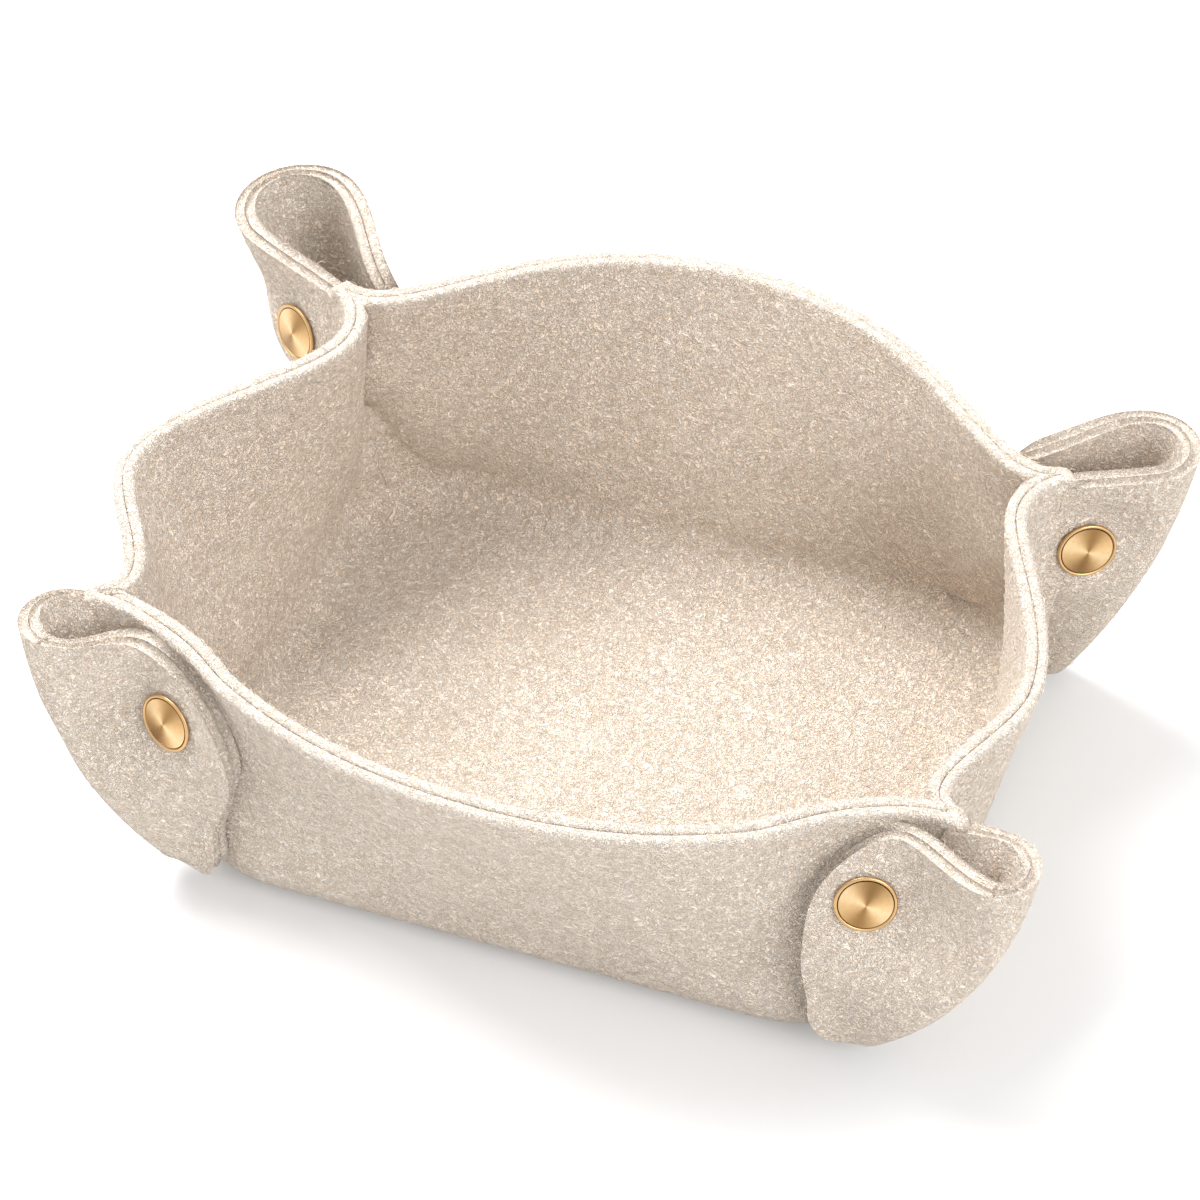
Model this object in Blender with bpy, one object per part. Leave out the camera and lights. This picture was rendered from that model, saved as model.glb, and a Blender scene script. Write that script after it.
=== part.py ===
"""Desk tray of two bonded felt plies with four rolled corner ears and snap fasteners.

The walls bow out between the corners. At each front corner a two-ply fin runs out from
the tray, and a flap rolls on round the tip and comes back on the outside of the front
wall, where a snap holds it. A flap opens about the outer skin of its ear's tip line.
At each back corner the side wall's felt runs on as one loop that is bonded to the back
wall, and a snap holds the pinched fold in front of it.
Sizes are in millimetres, and objects are built in metres with +Z up and the front at -Y.
"""

import math

import bmesh
import bpy
import numpy as np
from mathutils import Vector

MM = 0.001

# Felt
PLY = 1.7  # one ply of felt
GLUE = 0.36  # bond line between two plies
REST = 0.4  # air between a closed flap and the felt behind it
SEAM = 0.3  # gap at a fin's root
BEND = 0.7  # gap at a flap's bend

# Tray body, measured on its outer skin
BASE_HALF_X = 66.5
BASE_HALF_Y = 52.0
BASE_CORNER = 24.0  # plan radius of the base corners
FOOT_RADIUS = 10.0  # rounding between the base and the walls
BOW = {"front": 13.8, "back": 13.8, "left": 17.0, "right": 10.5}  # rim beyond the base at its fullest
SIDE_MIDDLE_Y = -12.0  # the side walls bow out most ahead of the centre
LONG_PULL = (0.62, 0.2)  # fullness of the front and back rims, at the middle and at the corner
SIDE_PULL = (0.38, 0.29)  # fullness of the side rims
PINCH_OUT = {"fl": 8.5, "fr": 5.5, "bl": -0.5, "br": -0.5}  # pinched corner beyond the base's end
PINCH_IN = {"front": 15.5, "back": 14.0}  # and inside the base's front or back edge
PINCH_SLOT = 0.6  # opening between the linings of a pinched corner
PINCH_REACH = {"front": 0.0, "back": 9.5}  # pinched fold below the rim, where the back snaps hold it
RIM_REACH = {"front": 0.0, "back": 4.0}  # and at the rim
FOLD_POWER = {"front": 1.0, "back": 2.2}  # how low down the fold forms
PINCH_TOP = 0.68  # the fold draws back from this level up to the rim
PINCH_LIP = {"front": 3.0, "back": 4.0}  # rounding where a side wall turns out into the pinch
LIP_HEADING = {"front": 95.0, "back": 110.0}  # side wall's heading as it reaches the lip, degrees
RIM_FRONT = 54.0  # rim height half-way along the front wall
RIM_BACK = 56.5  # and along the back wall
RIM_CORNER = {"front": 52.0, "back": 57.0}  # rim height at the front and back corners

# Corner ears, in the corner's own outward axes
FOOT_ROLL = (-5.5, -6.8, 6.5)  # where the roll starts at the foot, from the base's corner
RIM_ROLL = {  # and at the rim, from the base's corner and the rim's height
    "fl": (14.0, -12.5, 0.0),
    "fr": (14.0, -12.5, 0.0),
    "bl": (16.0, -9.2, 3.5),
    "br": (15.0, -9.2, -1.0),
}
FIN_TURN = {"front": 8.0, "back": 30.0}  # fin's heading out from the long axis, degrees
FIN_TURN_LOW = 4.0  # at the foot
FIN_SIDE = {"front": 1, "back": -1}  # the fin carries on the front wall's felt, or the side wall's at the back
ROLL_LOW = 4.4  # roll across its middle surface, at the foot
ROLL_HIGH = {"fl": 11.5, "fr": 11.5, "bl": 19.5, "br": 13.5}
FOOT_LEVEL = -0.25  # level of the ear's lowest row on the body's skin
LANDING = (0.15, 0.3)  # share of the half wall from the corner to the flap's landing, foot and rim
FLAP_END = 14.5  # free edge of the flap, in from the base's end
FLAP_END_LOW = 12.0  # at the foot
FLAP_ROUND_X = 13.0  # rounding of the flap's upper corner
FLAP_ROUND_Z = 20.0

# Snap positions: share of the half wall from the corner, and level
SNAP_WALL = {"fl": (0.25, 0.66), "fr": (0.225, 0.65)}  # front snaps, on the front wall
SNAP_FOLD = (-0.107, 0.68)  # back snaps, on the side wall's face of the pinched fold
SNAP_FLAT = 7.0  # felt is pressed flat within this radius
SNAP_FADE = 12.5

# Snap pieces
CAP_RADIUS = 5.2
CAP_CREST = 1.35
CAP_EDGE = 0.75
CAP_SEAT = 0.25
SHANK_RADIUS = 1.4
SOCKET_RADIUS = 4.4
SOCKET_BORE = 2.45
SOCKET_GROOVE = 3.05
RING_WIRE = 0.28
RING_RADIUS = 2.48
RING_GAP = math.radians(34.0)
STUD_FLANGE = 3.5
STUD_HEAD = 1.95
STUD_NECK = 1.6
POST_RADIUS = 1.0
POST_HEAD = 3.6  # flat head of a back post, inside its loop
CLEAR = 0.3

TWO = 2 * PLY + GLUE
SAMPLES = 120  # points of an outline along half a wall
FOLD_END = 0.055  # share that lies on the fold's rounded end
PINCH_SHARE = 0.15  # share of a half wall's points that lies on the pinched fold
FELT_COLOR = (0.74, 0.66, 0.56)
BRASS_COLOR = (0.72, 0.50, 0.26)
STEEL_COLOR = (0.62, 0.60, 0.56)

CORNERS = ("fr", "br", "bl", "fl")  # counter-clockwise
PINCH_RADIUS = TWO + PINCH_SLOT / 2
HALF_WALLS = (
    ("front", "fr", False),
    ("right", "fr", True),
    ("right", "br", False),
    ("back", "br", True),
    ("back", "bl", False),
    ("left", "bl", True),
    ("left", "fl", False),
    ("front", "fl", True),
)


def row_of(corner):
    return "front" if corner[0] == "f" else "back"


def signs(corner):
    """The corner's outward ways along X and Y."""
    return np.array([1 if corner[1] == "r" else -1, 1 if corner[0] == "b" else -1])


def place_of(corner):
    """The corner's place round the body, and the way from it to the middle of its long wall."""
    return 2 * CORNERS.index(corner) + 1, signs(corner).prod()


def lerp(a, b, t):
    return a + (b - a) * t


def smooth(t):
    t = min(max(t, 0.0), 1.0)
    return t * t * (3 - 2 * t)


def unit(v):
    return v / np.linalg.norm(v)


def resample(points, count):
    """Points at even spacing along a polyline, with its end point left out."""
    run = run_of(points)
    at = np.linspace(0, run[-1], count, endpoint=False)
    return np.stack([np.interp(at, run, points[:, i]) for i in range(points.shape[1])], axis=1)


def run_of(points):
    return np.concatenate([[0], np.cumsum(np.linalg.norm(np.diff(points, axis=0), axis=1))])


def along_path(points, run):
    """Point at a run along a polyline, carried straight on past its ends."""
    runs = run_of(points)
    i = min(max(int(np.searchsorted(runs, run)), 1), len(points) - 1)
    return lerp(points[i - 1], points[i], (run - runs[i - 1]) / (runs[i] - runs[i - 1]))


def arc(centre, radius, start, end, count=12):
    turn = np.radians(np.linspace(start, end, count))
    return np.stack([centre[0] + radius * np.cos(turn), centre[1] + radius * np.sin(turn)], axis=1)


def bezier(start, start_pull, end, end_pull, count):
    t = np.linspace(0, 1, count)[:, None]
    a, b = start + start_pull, end - end_pull
    return (1 - t) ** 3 * start + 3 * (1 - t) ** 2 * t * a + 3 * (1 - t) * t**2 * b + t**3 * end


def heading(degrees):
    turn = math.radians(degrees)
    return np.array([math.cos(turn), math.sin(turn)])


def base_half(wall, corner, inset):
    """Base outline from the middle of a wall to the middle of its corner, in outward axes."""
    half_x = BASE_HALF_X - inset
    half_y = BASE_HALF_Y - inset
    radius = BASE_CORNER - inset
    centre = (half_x - radius, half_y - radius)
    if wall in ("front", "back"):
        points = np.vstack([[0.0, half_y], arc(centre, radius, 90, 45, 24)])
    else:
        start_y = SIDE_MIDDLE_Y * signs(corner)[1]
        points = np.vstack([[half_x, start_y], arc(centre, radius, 0, 45, 24)])
    return np.vstack([resample(points, SAMPLES), points[-1]])


def rim_half(wall, corner, reach):
    """Rim outline from the middle of a wall round to the end of its pinched corner.

    The pinch runs out along its heading for reach, and takes the last PINCH_SHARE of the points.
    """
    row = row_of(corner)
    turn = FIN_TURN[row]
    pinch = np.array([BASE_HALF_X + PINCH_OUT[corner], BASE_HALF_Y - PINCH_IN[row]])
    end = pinch + reach * heading(turn)
    if wall in ("front", "back"):
        start = np.array([0.0, BASE_HALF_Y + BOW[wall]])
        mouth = pinch + PINCH_RADIUS * heading(turn + 90)
        pulls = [mouth[0] * share for share in LONG_PULL]
        side = bezier(start, pulls[0] * heading(0), mouth, pulls[1] * heading(turn), 60)
        fold = arc(end, PINCH_RADIUS, turn + 90, turn)
    else:
        start = np.array([BASE_HALF_X + BOW[wall], SIDE_MIDDLE_Y * signs(corner)[1]])
        lip = PINCH_LIP[row]
        centre = pinch + (PINCH_RADIUS + lip) * heading(turn - 90)
        turn_in = arc(centre, lip, LIP_HEADING[row] + 90, turn + 90)
        pulls = [(turn_in[0, 1] - start[1]) * share for share in SIDE_PULL]
        last = pulls[1] * heading(LIP_HEADING[row])
        side = np.vstack([bezier(start, pulls[0] * heading(90), turn_in[0], last, 60), turn_in[1:]])
        fold = arc(end, PINCH_RADIUS, turn - 90, turn)
    count = round(SAMPLES * (1 - PINCH_SHARE))
    fold = np.vstack([side[-1], fold])
    return np.vstack([resample(side, count), resample(fold, SAMPLES - count), fold[-1]])


def ring_of(half):
    """Closed outline, counter-clockwise from the middle of the front wall."""
    parts = []
    for wall, corner, backward in HALF_WALLS:
        points = half(wall, corner) * signs(corner)
        parts.append(points[:0:-1] if backward else points[:-1])
    return np.vstack(parts)


INNER_RING = ring_of(lambda wall, corner: base_half(wall, corner, FOOT_RADIUS))
BASE_RING = ring_of(lambda wall, corner: base_half(wall, corner, 0.0))
PINCH_RING = ring_of(lambda wall, corner: rim_half(wall, corner, PINCH_REACH[row_of(corner)]))
RIM_RING = ring_of(lambda wall, corner: rim_half(wall, corner, RIM_REACH[row_of(corner)]))


def on_ring(ring, q):
    place = (q % 8) * SAMPLES
    first = int(place)
    return lerp(ring[first % len(ring)], ring[(first + 1) % len(ring)], place - first)


def rim_height(q):
    row = "back" if 2 <= q % 8 <= 6 else "front"
    middle = lerp(RIM_FRONT, RIM_BACK, math.sin(math.pi * q / 8) ** 2)
    return lerp(middle, RIM_CORNER[row], math.sin(math.pi * q / 2) ** 2)


def soft_skin(q, level):
    """Outer skin of the body. q runs round it; level is -1 at the base plane and 1 at the rim."""
    if level < 0:
        turn = (1 + level) * math.pi / 2
        plan = lerp(on_ring(INNER_RING, q), on_ring(BASE_RING, q), math.sin(turn))
        return np.array([*plan, FOOT_RADIUS * (1 - math.cos(turn))])
    reach = smooth((level - 0.25) / 0.35) * (1 - smooth((level - PINCH_TOP) / (1 - PINCH_TOP)))
    rim = lerp(on_ring(RIM_RING, q), on_ring(PINCH_RING, q), reach)
    from_corner = abs(q % 2 - 1)
    fold = 1 - max(1 - level, 0.0) ** FOLD_POWER["back" if 2 <= q % 8 <= 6 else "front"]
    flare = lerp(fold, level**1.1, smooth((from_corner - PINCH_SHARE) / 0.3))
    plan = lerp(on_ring(BASE_RING, q), rim, flare)
    return np.array([*plan, lerp(FOOT_RADIUS, rim_height(q), level)])


def normal_of(surface, q, level):
    along = surface(q + 0.015, level) - surface(q - 0.015, level)
    up = surface(q, level + 0.02) - surface(q, level - 0.02)
    return unit(np.cross(along, up))


def press(points, plane, axis):
    """Points near the place of a snap are pressed on to the plane there."""
    off = points - plane
    depth = off @ axis
    spread = np.linalg.norm(off - depth[..., None] * axis, axis=-1)
    fade = np.clip((spread - SNAP_FLAT) / (SNAP_FADE - SNAP_FLAT), 0, 1)
    return points - (depth * (1 - fade * fade * (3 - 2 * fade)))[..., None] * axis


def snap_plane(corner):
    """Middle of the cap's seat on the body's skin, and the way that the cap faces."""
    q, toward = place_of(corner)
    share, level = SNAP_WALL.get(corner, SNAP_FOLD)
    place = q + toward * share
    return soft_skin(place, level), normal_of(soft_skin, place, level)


SNAP_PLANES = {corner: snap_plane(corner) for corner in CORNERS}


def skin(q, level):
    """Outer skin of the body, pressed flat where a snap goes through it."""
    point = soft_skin(q, level)
    for corner, (plane, axis) in SNAP_PLANES.items():
        centre, toward = place_of(corner)
        place = (q - centre + 4) % 8 - 4
        if abs(place) > 0.6 or level < 0:
            continue
        back = row_of(corner) == "back"
        if back and place * toward > 0:
            plane = plane - axis * 2 * PINCH_RADIUS
        if back or place * toward > 0:
            hold = smooth(abs(place) / FOLD_END)
            if back:
                hold *= 1 - smooth((abs(place) - PINCH_SHARE) / 0.08)
            point = lerp(point, press(point, plane, axis), hold)
    return point


def skin_normal(q, level):
    return normal_of(skin, q, level)


class Ear:
    """Middle surface of one corner's fin and flap, in the corner's outward axes (e, f, z)."""

    def __init__(self, corner):
        row = row_of(corner)
        base = np.array([BASE_HALF_X, BASE_HALF_Y, 0.0])
        self.flip = np.array([*signs(corner), 1.0])
        self.q, self.toward = place_of(corner)
        self.low = base + FOOT_ROLL
        self.high = base + RIM_ROLL[corner] + np.array([0.0, 0.0, RIM_CORNER[row]])
        self.roll_high = ROLL_HIGH[corner]
        self.turn_high = FIN_TURN[row]
        self.front = row == "front"
        self.shift = FIN_SIDE[row] * (PINCH_RADIUS - TWO / 2)
        plane, axis = SNAP_PLANES[corner]
        self.axis = axis * self.flip
        self.seat = plane * self.flip
        if self.front:
            self.seat = self.seat + self.axis * (REST + TWO)

    def body(self, q, level, lift):
        return (skin(q, level) + skin_normal(q, level) * lift) * self.flip

    def level(self, row):
        return lerp(FOOT_LEVEL, 1.0, row)

    def rise(self, row):
        """Share of the ear's height at a row."""
        foot, here, rim = (soft_skin(self.q, self.level(r))[2] for r in (0.0, row, 1.0))
        return (here - foot) / (rim - foot)

    def fin_end(self, row):
        return lerp(self.low, self.high, self.rise(row))

    def roll(self, row):
        return lerp(ROLL_LOW, self.roll_high, self.rise(row))

    def turn(self, row):
        return math.radians(lerp(FIN_TURN_LOW, self.turn_high, self.rise(row)))

    def heading(self, row):
        """The fin's heading as it meets the roll, and the way across the roll."""
        turn = self.turn(row)
        out = np.array([math.cos(turn), math.sin(turn), 0.0])
        return out, np.array([-out[1], out[0], 0.0])

    def tip(self, row):
        return self.fin_end(row) + sum(self.heading(row)) * self.roll(row) / 2

    def hinge(self):
        """Two points on the outer skin of the tip: the line that the flap turns about."""
        rise = unit(self.tip(1.0) - self.tip(0.0))
        out = self.heading(0.5)[0]
        out = unit(out - rise * out.dot(rise))
        return [(self.tip(row) + out * TWO / 2) * self.flip for row in (0.0, 1.0)]

    def quarter(self, row, start, end):
        out, across = self.heading(row)
        radius = self.roll(row) / 2
        turn = np.linspace(start, end, 14)[:, None]
        return self.fin_end(row) + radius * (across + np.sin(turn) * out - np.cos(turn) * across)

    def fin_path(self, row):
        """From inside the tray's corner out to the tip line."""
        level = self.level(row)
        out, across = self.heading(row)
        root = self.body(self.q, level, -3.0) + across * self.shift * max(level, 0.0)
        end = self.fin_end(row)
        pull = out * np.linalg.norm(end - root) / 3
        path = np.vstack([bezier(root, pull, end, pull, 26), self.quarter(row, 0, math.pi / 2)[1:]])
        return path if self.front else press(path, self.seat - self.axis * TWO / 2, self.axis)

    def flap_end(self, row):
        level = self.level(row)
        edge = BASE_HALF_X - lerp(FLAP_END_LOW, FLAP_END, smooth(row * 2))
        top = skin(self.q, 1.0)[2]
        below = (top - skin(self.q, level)[2]) / FLAP_ROUND_Z
        if below < 1:
            edge += FLAP_ROUND_X * (1 - math.sqrt(max(0.0, 1 - (1 - below) ** 2)))
        return edge

    def flap_path(self, row):
        """From the tip line round the roll and on along the wall."""
        level = self.level(row)
        lift = (REST if self.front else GLUE) + TWO / 2
        share = np.linspace(lerp(*LANDING, smooth(level / 0.5)), 0.5, 40)
        wall = np.array([self.body(self.q + self.toward * s, level, lift) for s in share])
        turn = self.quarter(row, math.pi / 2, math.pi - self.turn(row))
        reach = np.linalg.norm(wall[0] - turn[-1]) * 0.4
        inward = np.array([-reach, 0.0, 0.0])
        bridge = bezier(turn[-1], inward, wall[0], unit(wall[1] - wall[0]) * reach, 26)
        path = np.vstack([turn, bridge[1:], wall[1:]])
        return press(path, self.seat - self.axis * TWO / 2, self.axis) if self.front else path

    def ear_path(self, row):
        """The fin and the flap in one."""
        return np.vstack([self.fin_path(row), self.flap_path(row)[1:]])

    def flap_run(self, row):
        """Length of the flap's path from the tip line to its free edge."""
        path = self.flap_path(row)
        run = run_of(path)
        past = np.argmax((path[:, 0] < self.flap_end(row)) & (run > self.roll(row)))
        share = (path[past - 1, 0] - self.flap_end(row)) / (path[past - 1, 0] - path[past, 0])
        return lerp(run[past - 1], run[past], share)

    def sheet(self, path, rows, start, ends, count, lift):
        """Rows of points of a surface, moved along its normal by lift."""
        grid = []
        for row, end in zip(rows, ends):
            low, here, high = (path(r) for r in (row - 0.02, row, row + 0.02))
            spots = []
            for run in np.linspace(start, end, count):
                along = along_path(here, run + 0.4) - along_path(here, run - 0.4)
                rise = along_path(high, run) - along_path(low, run)
                spots.append(along_path(here, run) + unit(np.cross(along, rise)) * lift)
            grid.append(spots)
        return np.array(grid)


def finish(obj, color, metallic, roughness):
    material = bpy.data.materials.new(obj.name)
    material.use_nodes = True
    shader = material.node_tree.nodes["Principled BSDF"]
    shader.inputs["Base Color"].default_value = (*color, 1.0)
    shader.inputs["Metallic"].default_value = metallic
    shader.inputs["Roughness"].default_value = roughness
    obj.data.materials.append(material)


def add_object(name, data, parent=None):
    obj = bpy.data.objects.new(name, data)
    bpy.context.scene.collection.objects.link(obj)
    obj.parent = parent
    return obj


def mesh_object(name, mesh_edit, parent=None):
    mesh = bpy.data.meshes.new(name)
    mesh_edit.to_mesh(mesh)
    mesh_edit.free()
    return add_object(name, mesh, parent)


def round_off(obj):
    obj.data.shade_smooth()
    obj.data.set_sharp_from_angle(angle=math.radians(40))


def add_cut(obj, cutter):
    modifier = obj.modifiers.new(cutter.name, "BOOLEAN")
    modifier.operation = "DIFFERENCE"
    modifier.solver = "EXACT"
    modifier.object = cutter


def hide_cutter(obj):
    obj.hide_render = True
    obj.display_type = "WIRE"


def offset_skin(q, level, lift):
    return skin(q, level) + skin_normal(q, level) * lift


def closed_fold(q, level, lift):
    """Point of the lining's face, which closes the pinched fold from its mouth inwards."""
    corner = 2 * math.floor(q / 2) + 1
    mouth = PINCH_SHARE * smooth((level - 0.2) / 0.4)
    if abs(q - corner) >= mouth:
        return offset_skin(q, level, lift)
    ends = [offset_skin(p, level, lift) for p in (corner - mouth, corner + mouth)]
    return lerp(*ends, (q - corner + mouth) / (2 * mouth))


def body_rows(lift, surface=offset_skin):
    """Rings of points from the base plane up to the rim, lift outside the body's skin."""
    levels = (-0.999, -0.6, -0.2, 0.15, 0.42, 0.58, 0.68, 0.77, 0.86, 0.94, 1.0)
    shares = (0.0, 0.28, 0.52, 0.68, 0.77, 0.83, 0.875, 0.91, 0.94, 0.965, 0.985)
    places = []
    for half in range(8):
        steps = shares if half % 2 == 0 else [0.0] + [1 - s for s in shares[:0:-1]]
        places += [half + s for s in steps]
    return [[surface(q, v, lift) for q in places] for v in levels]


def add_rings(name, rising, falling=()):
    """Closed solid through rings of points, up one side and down the other, with flat ends."""
    edit = bmesh.new()
    rows = list(rising) + list(falling)
    rings = [[edit.verts.new(Vector(p) * MM) for p in row] for row in rows]
    for k, (one, two) in enumerate(zip(rings, rings[1:])):
        for i in range(len(one)):
            j = (i + 1) % len(one)
            if k < len(rising):
                edit.faces.new((one[i], one[j], two[j]))
                edit.faces.new((one[i], two[j], two[i]))
            else:
                edit.faces.new((one[i], one[j], two[i]))
                edit.faces.new((one[j], two[j], two[i]))
    edit.faces.new(rings[0][::-1])
    edit.faces.new(rings[-1])
    obj = mesh_object(name, edit)
    round_off(obj)
    return obj


def add_bowl(name, lift, inside):
    """Open bowl of one ply whose outer surface lies lift outside the body's skin."""
    return add_rings(name, body_rows(lift), body_rows(lift - PLY, inside)[::-1])


def add_envelope():
    """Closed solid of the whole body, which trims the roots of the fins."""
    rows = body_rows(SEAM)
    rows.append([p + np.array([0.0, 0.0, 12.0]) for p in rows[-1]])
    obj = add_rings("body_envelope", rows)
    hide_cutter(obj)
    return obj


def add_ply(name, faces, flip, parent):
    """Felt ply between two grids of points that face each other."""
    shift = Vector(parent.location) if parent else Vector()
    edit = bmesh.new()
    near, far = (
        [[edit.verts.new(Vector(p * flip) * MM - shift) for p in row] for row in grid]
        for grid in faces
    )
    for rows in (near, far):
        for low, high in zip(rows, rows[1:]):
            for i in range(len(low) - 1):
                edit.faces.new((low[i], low[i + 1], high[i + 1]))
                edit.faces.new((low[i], high[i + 1], high[i]))
    borders = [
        (near[0], far[0]),
        (near[-1], far[-1]),
        ([row[0] for row in near], [row[0] for row in far]),
        ([row[-1] for row in near], [row[-1] for row in far]),
    ]
    for one, other in borders:
        for i in range(len(one) - 1):
            edit.faces.new((one[i], one[i + 1], other[i + 1], other[i]))
    bmesh.ops.recalc_face_normals(edit, faces=edit.faces)
    obj = mesh_object(name, edit, parent)
    round_off(obj)
    return obj


def add_lathe(name, profile, steps, closed=False):
    """Profile of (radius, height) turned about Z."""
    edit = bmesh.new()
    verts = [edit.verts.new((r * MM, 0.0, z * MM)) for r, z in profile]
    edges = [edit.edges.new(pair) for pair in zip(verts, verts[1:])]
    if closed:
        edges.append(edit.edges.new((verts[-1], verts[0])))
    bmesh.ops.spin(
        edit,
        geom=verts + edges,
        axis=(0, 0, 1),
        cent=(0, 0, 0),
        steps=steps,
        angle=2 * math.pi,
        use_merge=True,
    )
    bmesh.ops.remove_doubles(edit, verts=edit.verts, dist=1e-6)
    bmesh.ops.recalc_face_normals(edit, faces=edit.faces)
    obj = mesh_object(name, edit)
    round_off(obj)
    return obj


def add_ring(name, height):
    """Split spring ring of round wire."""
    curve = bpy.data.curves.new(name, "CURVE")
    curve.dimensions = "3D"
    curve.bevel_depth = RING_WIRE * MM
    curve.bevel_resolution = 0
    curve.use_fill_caps = True
    turns = np.linspace(RING_GAP / 2, 2 * math.pi - RING_GAP / 2, 16)
    spline = curve.splines.new("POLY")
    spline.points.add(len(turns) - 1)
    for point, turn in zip(spline.points, turns):
        place = Vector((RING_RADIUS * math.cos(turn), RING_RADIUS * math.sin(turn), height)) * MM
        point.co = (*place, 1.0)
    return add_object(name, curve)


def add_hole(name, radius, top, bottom):
    edit = bmesh.new()
    bmesh.ops.create_cone(
        edit,
        cap_ends=True,
        segments=20,
        radius1=radius * MM,
        radius2=radius * MM,
        depth=(top - bottom) * MM,
    )
    bmesh.ops.translate(edit, verts=edit.verts, vec=(0.0, 0.0, (top + bottom) / 2 * MM))
    obj = mesh_object(name, edit)
    hide_cutter(obj)
    return obj


def add_snap(corner, ear, hinge):
    """Cap, socket, spring ring, stud and post along the snap's axis, cap side first."""
    near = -TWO
    far = near - (REST if ear.front else PINCH_SLOT)
    back = far - TWO
    head, crest = (CAP_RADIUS, CAP_CREST) if ear.front else (POST_HEAD, CAP_EDGE)
    floor = -PLY - GLUE - 0.2
    flare = floor - 0.42
    lip = near - 0.1
    cap = add_lathe(
        "snap_cap_" + corner,
        (
            (0.0, CAP_CREST),
            (CAP_RADIUS - 0.55, CAP_EDGE),
            (CAP_RADIUS - 0.15, CAP_EDGE - 0.06),
            (CAP_RADIUS, CAP_EDGE - 0.25),
            (CAP_RADIUS - 0.1, CAP_SEAT),
            (SHANK_RADIUS, CAP_SEAT),
            (SHANK_RADIUS, flare),
            (SHANK_RADIUS + 0.6, flare - 0.05),
            (SHANK_RADIUS + 0.6, flare - 0.23),
            (0.0, flare - 0.23),
        ),
        24,
    )
    socket = add_lathe(
        "snap_socket_" + corner,
        (
            (SHANK_RADIUS + CLEAR, floor),
            (SOCKET_RADIUS - 0.3, floor),
            (SOCKET_RADIUS, floor - 0.3),
            (SOCKET_RADIUS, lip),
            (SOCKET_BORE, lip),
            (SOCKET_BORE, lip + 0.35),
            (SOCKET_GROOVE, lip + 0.35),
            (SOCKET_GROOVE, floor - 0.4),
            (SHANK_RADIUS + CLEAR, floor - 0.4),
        ),
        14,
        closed=True,
    )
    ring = add_ring("snap_ring_" + corner, (lip + 0.35 + floor - 0.4) / 2)
    stud_top = flare - 0.53
    stud_foot = far - 0.15
    stud = add_lathe(
        "snap_stud_" + corner,
        (
            (0.0, stud_top),
            (STUD_HEAD - 0.4, stud_top),
            (STUD_HEAD, stud_top - 0.3),
            (STUD_NECK, stud_top - 0.65),
            (STUD_NECK, stud_foot),
            (STUD_FLANGE, stud_foot),
            (STUD_FLANGE, stud_foot - 0.5),
            (POST_RADIUS + CLEAR, stud_foot - 0.5),
            (POST_RADIUS + CLEAR, stud_top - 0.45),
            (0.0, stud_top - 0.45),
        ),
        12,
    )
    post = add_lathe(
        "snap_post_" + corner,
        (
            (0.0, stud_top - 0.75),
            (POST_RADIUS, stud_top - 0.75),
            (POST_RADIUS, back - CAP_SEAT),
            (head - 0.1, back - CAP_SEAT),
            (head, back - CAP_EDGE + 0.25),
            (head - 0.15, back - CAP_EDGE + 0.06),
            (head - 0.55, back - CAP_EDGE),
            (0.0, back - crest),
        ),
        20,
    )
    cuts = (
        (SHANK_RADIUS + CLEAR, 2.0, -PLY - GLUE / 2),
        (SOCKET_RADIUS + CLEAR, -PLY - GLUE / 2, (near + far) / 2),
        (STUD_FLANGE + CLEAR, (near + far) / 2, far - PLY - GLUE / 2),
        (POST_RADIUS + CLEAR, far - PLY - GLUE / 2, back - 2.0),
    )
    holes = [add_hole(f"hole_{i}_{corner}", *cut) for i, cut in enumerate(cuts)]
    place = Vector(ear.seat * ear.flip) * MM
    turn = Vector(ear.axis * ear.flip).to_track_quat("Z", "Y")
    moving = (cap, socket, ring) if ear.front else ()
    for obj in (cap, socket, ring, stud, post, *holes):
        obj.rotation_mode = "QUATERNION"
        obj.rotation_quaternion = turn
        obj.location = place
        if obj in moving:
            obj.parent = hinge
            obj.location = place - hinge.location
    for obj in (cap, post):
        finish(obj, BRASS_COLOR, 1.0, 0.32)
    for obj in (socket, ring, stud):
        finish(obj, STEEL_COLOR, 1.0, 0.4)
    return holes


def add_ear(corner, shell, lining, envelope):
    """Front ears: a fixed fin and a flap that opens. Back ears: one loop bonded to the wall."""
    ear = Ear(corner)
    rows = (0.0, 0.2, 0.4, 0.55, 0.64, 0.72, 0.8, 0.88, 0.95, 1.0)
    fin_ends = [run_of(ear.fin_path(row))[-1] for row in rows]
    flap_ends = [ear.flap_run(row) for row in rows]
    ear_ends = [fin + flap for fin, flap in zip(fin_ends, flap_ends)]
    hinge = None
    sheets = [(ear.ear_path, "ear", 0.0, ear_ends, 22, None)]
    if ear.front:
        low, high = ear.hinge()
        hinge = add_object("hinge_" + corner, None)
        hinge.location = Vector(lerp(low, high, 0.5)) * MM
        sheets = [
            (ear.fin_path, "fin", 0.0, fin_ends, 8, None),
            (ear.flap_path, "flap", BEND, flap_ends, 16, hinge),
        ]
    plies = []
    for path, name, start, ends, count, parent in sheets:
        for side, sign in (("outer", 1), ("inner", -1)):
            lifts = (sign * GLUE / 2, sign * TWO / 2)
            faces = [ear.sheet(path, rows, start, ends, count, lift) for lift in lifts]
            ply = add_ply(f"{name}_{side}_{corner}", faces, ear.flip, parent)
            finish(ply, FELT_COLOR, 0.0, 0.95)
            plies.append(ply)
            if parent is None:
                add_cut(ply, envelope)
    layers = (plies[2], plies[3], shell, lining) if ear.front else (shell, lining, lining, shell)
    for layer, hole in zip(layers, add_snap(corner, ear, hinge)):
        add_cut(layer, hole)


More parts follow.
